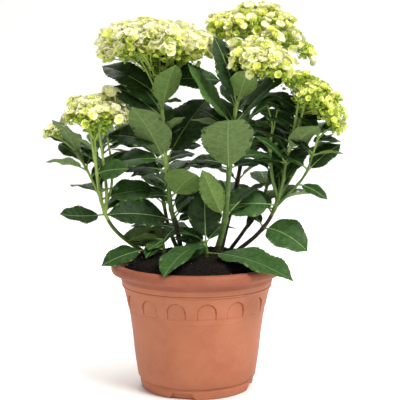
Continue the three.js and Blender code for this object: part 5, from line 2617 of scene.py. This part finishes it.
class Plant:
    """The whole plant: its canes, leaves and flower heads."""

    def __init__(self) -> None:
        """Starts the joined skins and scatters of the plant."""
        self.stems = Stems()
        self.foliage = Foliage()
        self.corymb = Corymb()
        self.bark = Skin(list(Bark))
        self.stalks = Skin([Bloom.STALK])
        self.leaves = {name: Skin(list(Leafy)) for name in ("left", "middle", "right", "low")}
        cream = sepal_floret("open floret", (Bloom.LEMON, Bloom.CREAM, Bloom.IVORY), (74, 26), 0.64)
        lemon = sepal_floret("half-open floret", (Bloom.LIME, Bloom.LEMON, Bloom.CREAM), (60, 20), 0.5)
        lime = sepal_floret("young floret", (Bloom.BUD, Bloom.LIME, Bloom.LEMON), (46, 2), 0.4, 3)
        self.kinds = {
            Bloom.CREAM: Scatter("florets_cream", cream, 11),
            Bloom.LEMON: Scatter("florets_lemon", lemon, 12),
            Bloom.LIME: Scatter("florets_lime", lime, 13),
            Bloom.BUD: Scatter("closed_buds", ball("closed bud", Bloom.BUD, 0.95, 0.1), 14),
        }

    def grow(self) -> None:
        """Grows every cane and low shoot."""
        for cane in CANES:
            self._cane(cane)
            LOG.info("cane %s grown", cane.name)
        for name, (seed, radii, shoot) in LOW_SHOOTS.items():
            self._stem(name, Course(shoot.course, radii), shoot.leaves, SeededNumbers(seed), seed, [])
            LOG.info("shoot %s grown", name)

    def _cane(self, cane: Cane) -> None:
        """Grows one cane with its shoots and flower heads.

        Args:
            cane: The cane of the table.
        """
        numbers = SeededNumbers(cane.seed)
        course = Course(cane.course, cane.radii)
        mass = self._mass(cane.name)
        starts = [course.share_at(shoot.start) for shoot in cane.shoots]
        self._stem(cane.name, course, cane.leaves, numbers, cane.seed, starts, cane.woody_to)
        self._head(course, cane.head, cane.seed)
        top = cane.flower_from or cane.course[-1][2]
        self.foliage.fill(mass, course, cane.leafy_from + 8, top - 8, cane.seed + FILLING_SEED)
        for k, (shoot, start) in enumerate(zip(cane.shoots, starts)):
            seed = cane.seed + SHOOT_SEED + k
            radii = (course.radius(start) * SHOOT_START_SHARE, SHOOT_TIP_RADIUS)
            side = Course([tuple(course.point(start)), *shoot.course], radii)
            self._stem(f"{cane.name} {k}", side, shoot.leaves, numbers, seed, [])
            top = shoot.flower_from or shoot.course[-1][2]
            self.foliage.fill(mass, side, shoot.start + 20, top - 4, seed + FILLING_SEED)
            self._head(side, shoot.head, seed)
        for height, points, radii in FINER_STEMS.get(cane.name, []):
            stem = Course([tuple(course.at_height(height)), *points], radii)
            self.stems.grow(self.bark, stem, [], 0.0, YOUNG_FROM.get(cane.name, YOUNG_USUALLY))

    def _head(self, course: Course, head: Head | None, seed: int) -> None:
        """Grows the flower head at the end of a course, where there is one.

        Args:
            course: The course.
            head: The head, or None.
            seed: Seed of what bears it.
        """
        if head:
            LaidHead(self.corymb, self.stalks, course, head, self.kinds, seed + HEAD_SEED).grow()

    def _stem(
        self,
        name: str,
        course: Course,
        leaves: Sequence[Leaf],
        numbers: SeededNumbers,
        seed: int,
        forks: Sequence[float],
        woody_to: float = 0.0,
    ) -> None:
        """Grows one stem with its main leaves and its finer ones.

        Args:
            name: The stem's name.
            course: The stem's course.
            leaves: Its main leaves.
            numbers: The cane's seeded numbers.
            seed: Seed of the leaves' looks.
            forks: Shares of the length where shoots leave it.
            woody_to: Height up to which its bark is brown.
        """
        finer = FINER_LEAVES.get(name, [])
        nodes = [course.share_at(leaf.height) for leaf in (*leaves, *finer)]
        young_from = YOUNG_FROM.get(name.split(" ")[0], YOUNG_USUALLY)
        self.stems.grow(self.bark, course, [*nodes, *forks], WOODY_TO.get(name, woody_to), young_from)
        mass = self._mass(name)
        self.foliage.grow(mass, course, leaves, numbers, seed + LEAVES_SEED)
        self.foliage.grow(mass, course, finer, numbers, seed + FINER_SEED)

    def _mass(self, name: str) -> Skin:
        """Returns the joined leaves that a stem's leaves belong to."""
        return self.leaves[MASSES.get(name.split(" ")[0], "low")]

    def build(self) -> dict[str, list[bpy.types.Object]]:
        """Makes the joined pieces.

        Returns:
            The pieces by the record's material slot.
        """
        return {
            "cane": [self.bark.build("cane_bark", 80)],
            "foliage": [skin.build(f"leaves_{name}", 60) for name, skin in self.leaves.items()],
            "blossom": [
                self.stalks.build("flower_stalks", 80),
                *(scatter.build(0.8) for scatter in self.kinds.values()),
            ],
        }


# What the names of the solids of each material slot begin with
NODE_STARTS = {"cane": "cane_", "foliage": "foliage_", "blossom": "flower_head_"}


def declare(piece: bpy.types.Object, slot: str, nodes: Sequence[str]) -> None:
    """Hangs a piece on the root body and hides the nodes that it stands for.

    Args:
        piece: The piece.
        slot: The record's material slot; not used.
        nodes: The nodes that it stands for.
    """
    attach(piece, "root")
    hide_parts(*nodes)
    piece.data.calc_loop_triangles()
    LOG.info("piece %s: %d triangles", piece.name, len(piece.data.loop_triangles))


def main() -> None:
    """Builds the plant over its frame."""
    logging.basicConfig(level=logging.INFO, format="%(message)s")
    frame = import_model()
    names = list(frame["nodes"])
    Studio().build()
    declare(Pot().build(), "pot", ["pot"])
    for piece in Soil().build():
        declare(piece, "soil", ["soil"])
    plant = Plant()
    plant.grow()
    for slot, pieces in plant.build().items():
        nodes = [name for name in names if name.startswith(NODE_STARTS[slot])]
        for piece in pieces:
            declare(piece, slot, nodes)
    bpy.context.view_layer.update()


if __name__ == "__main__":
    main()
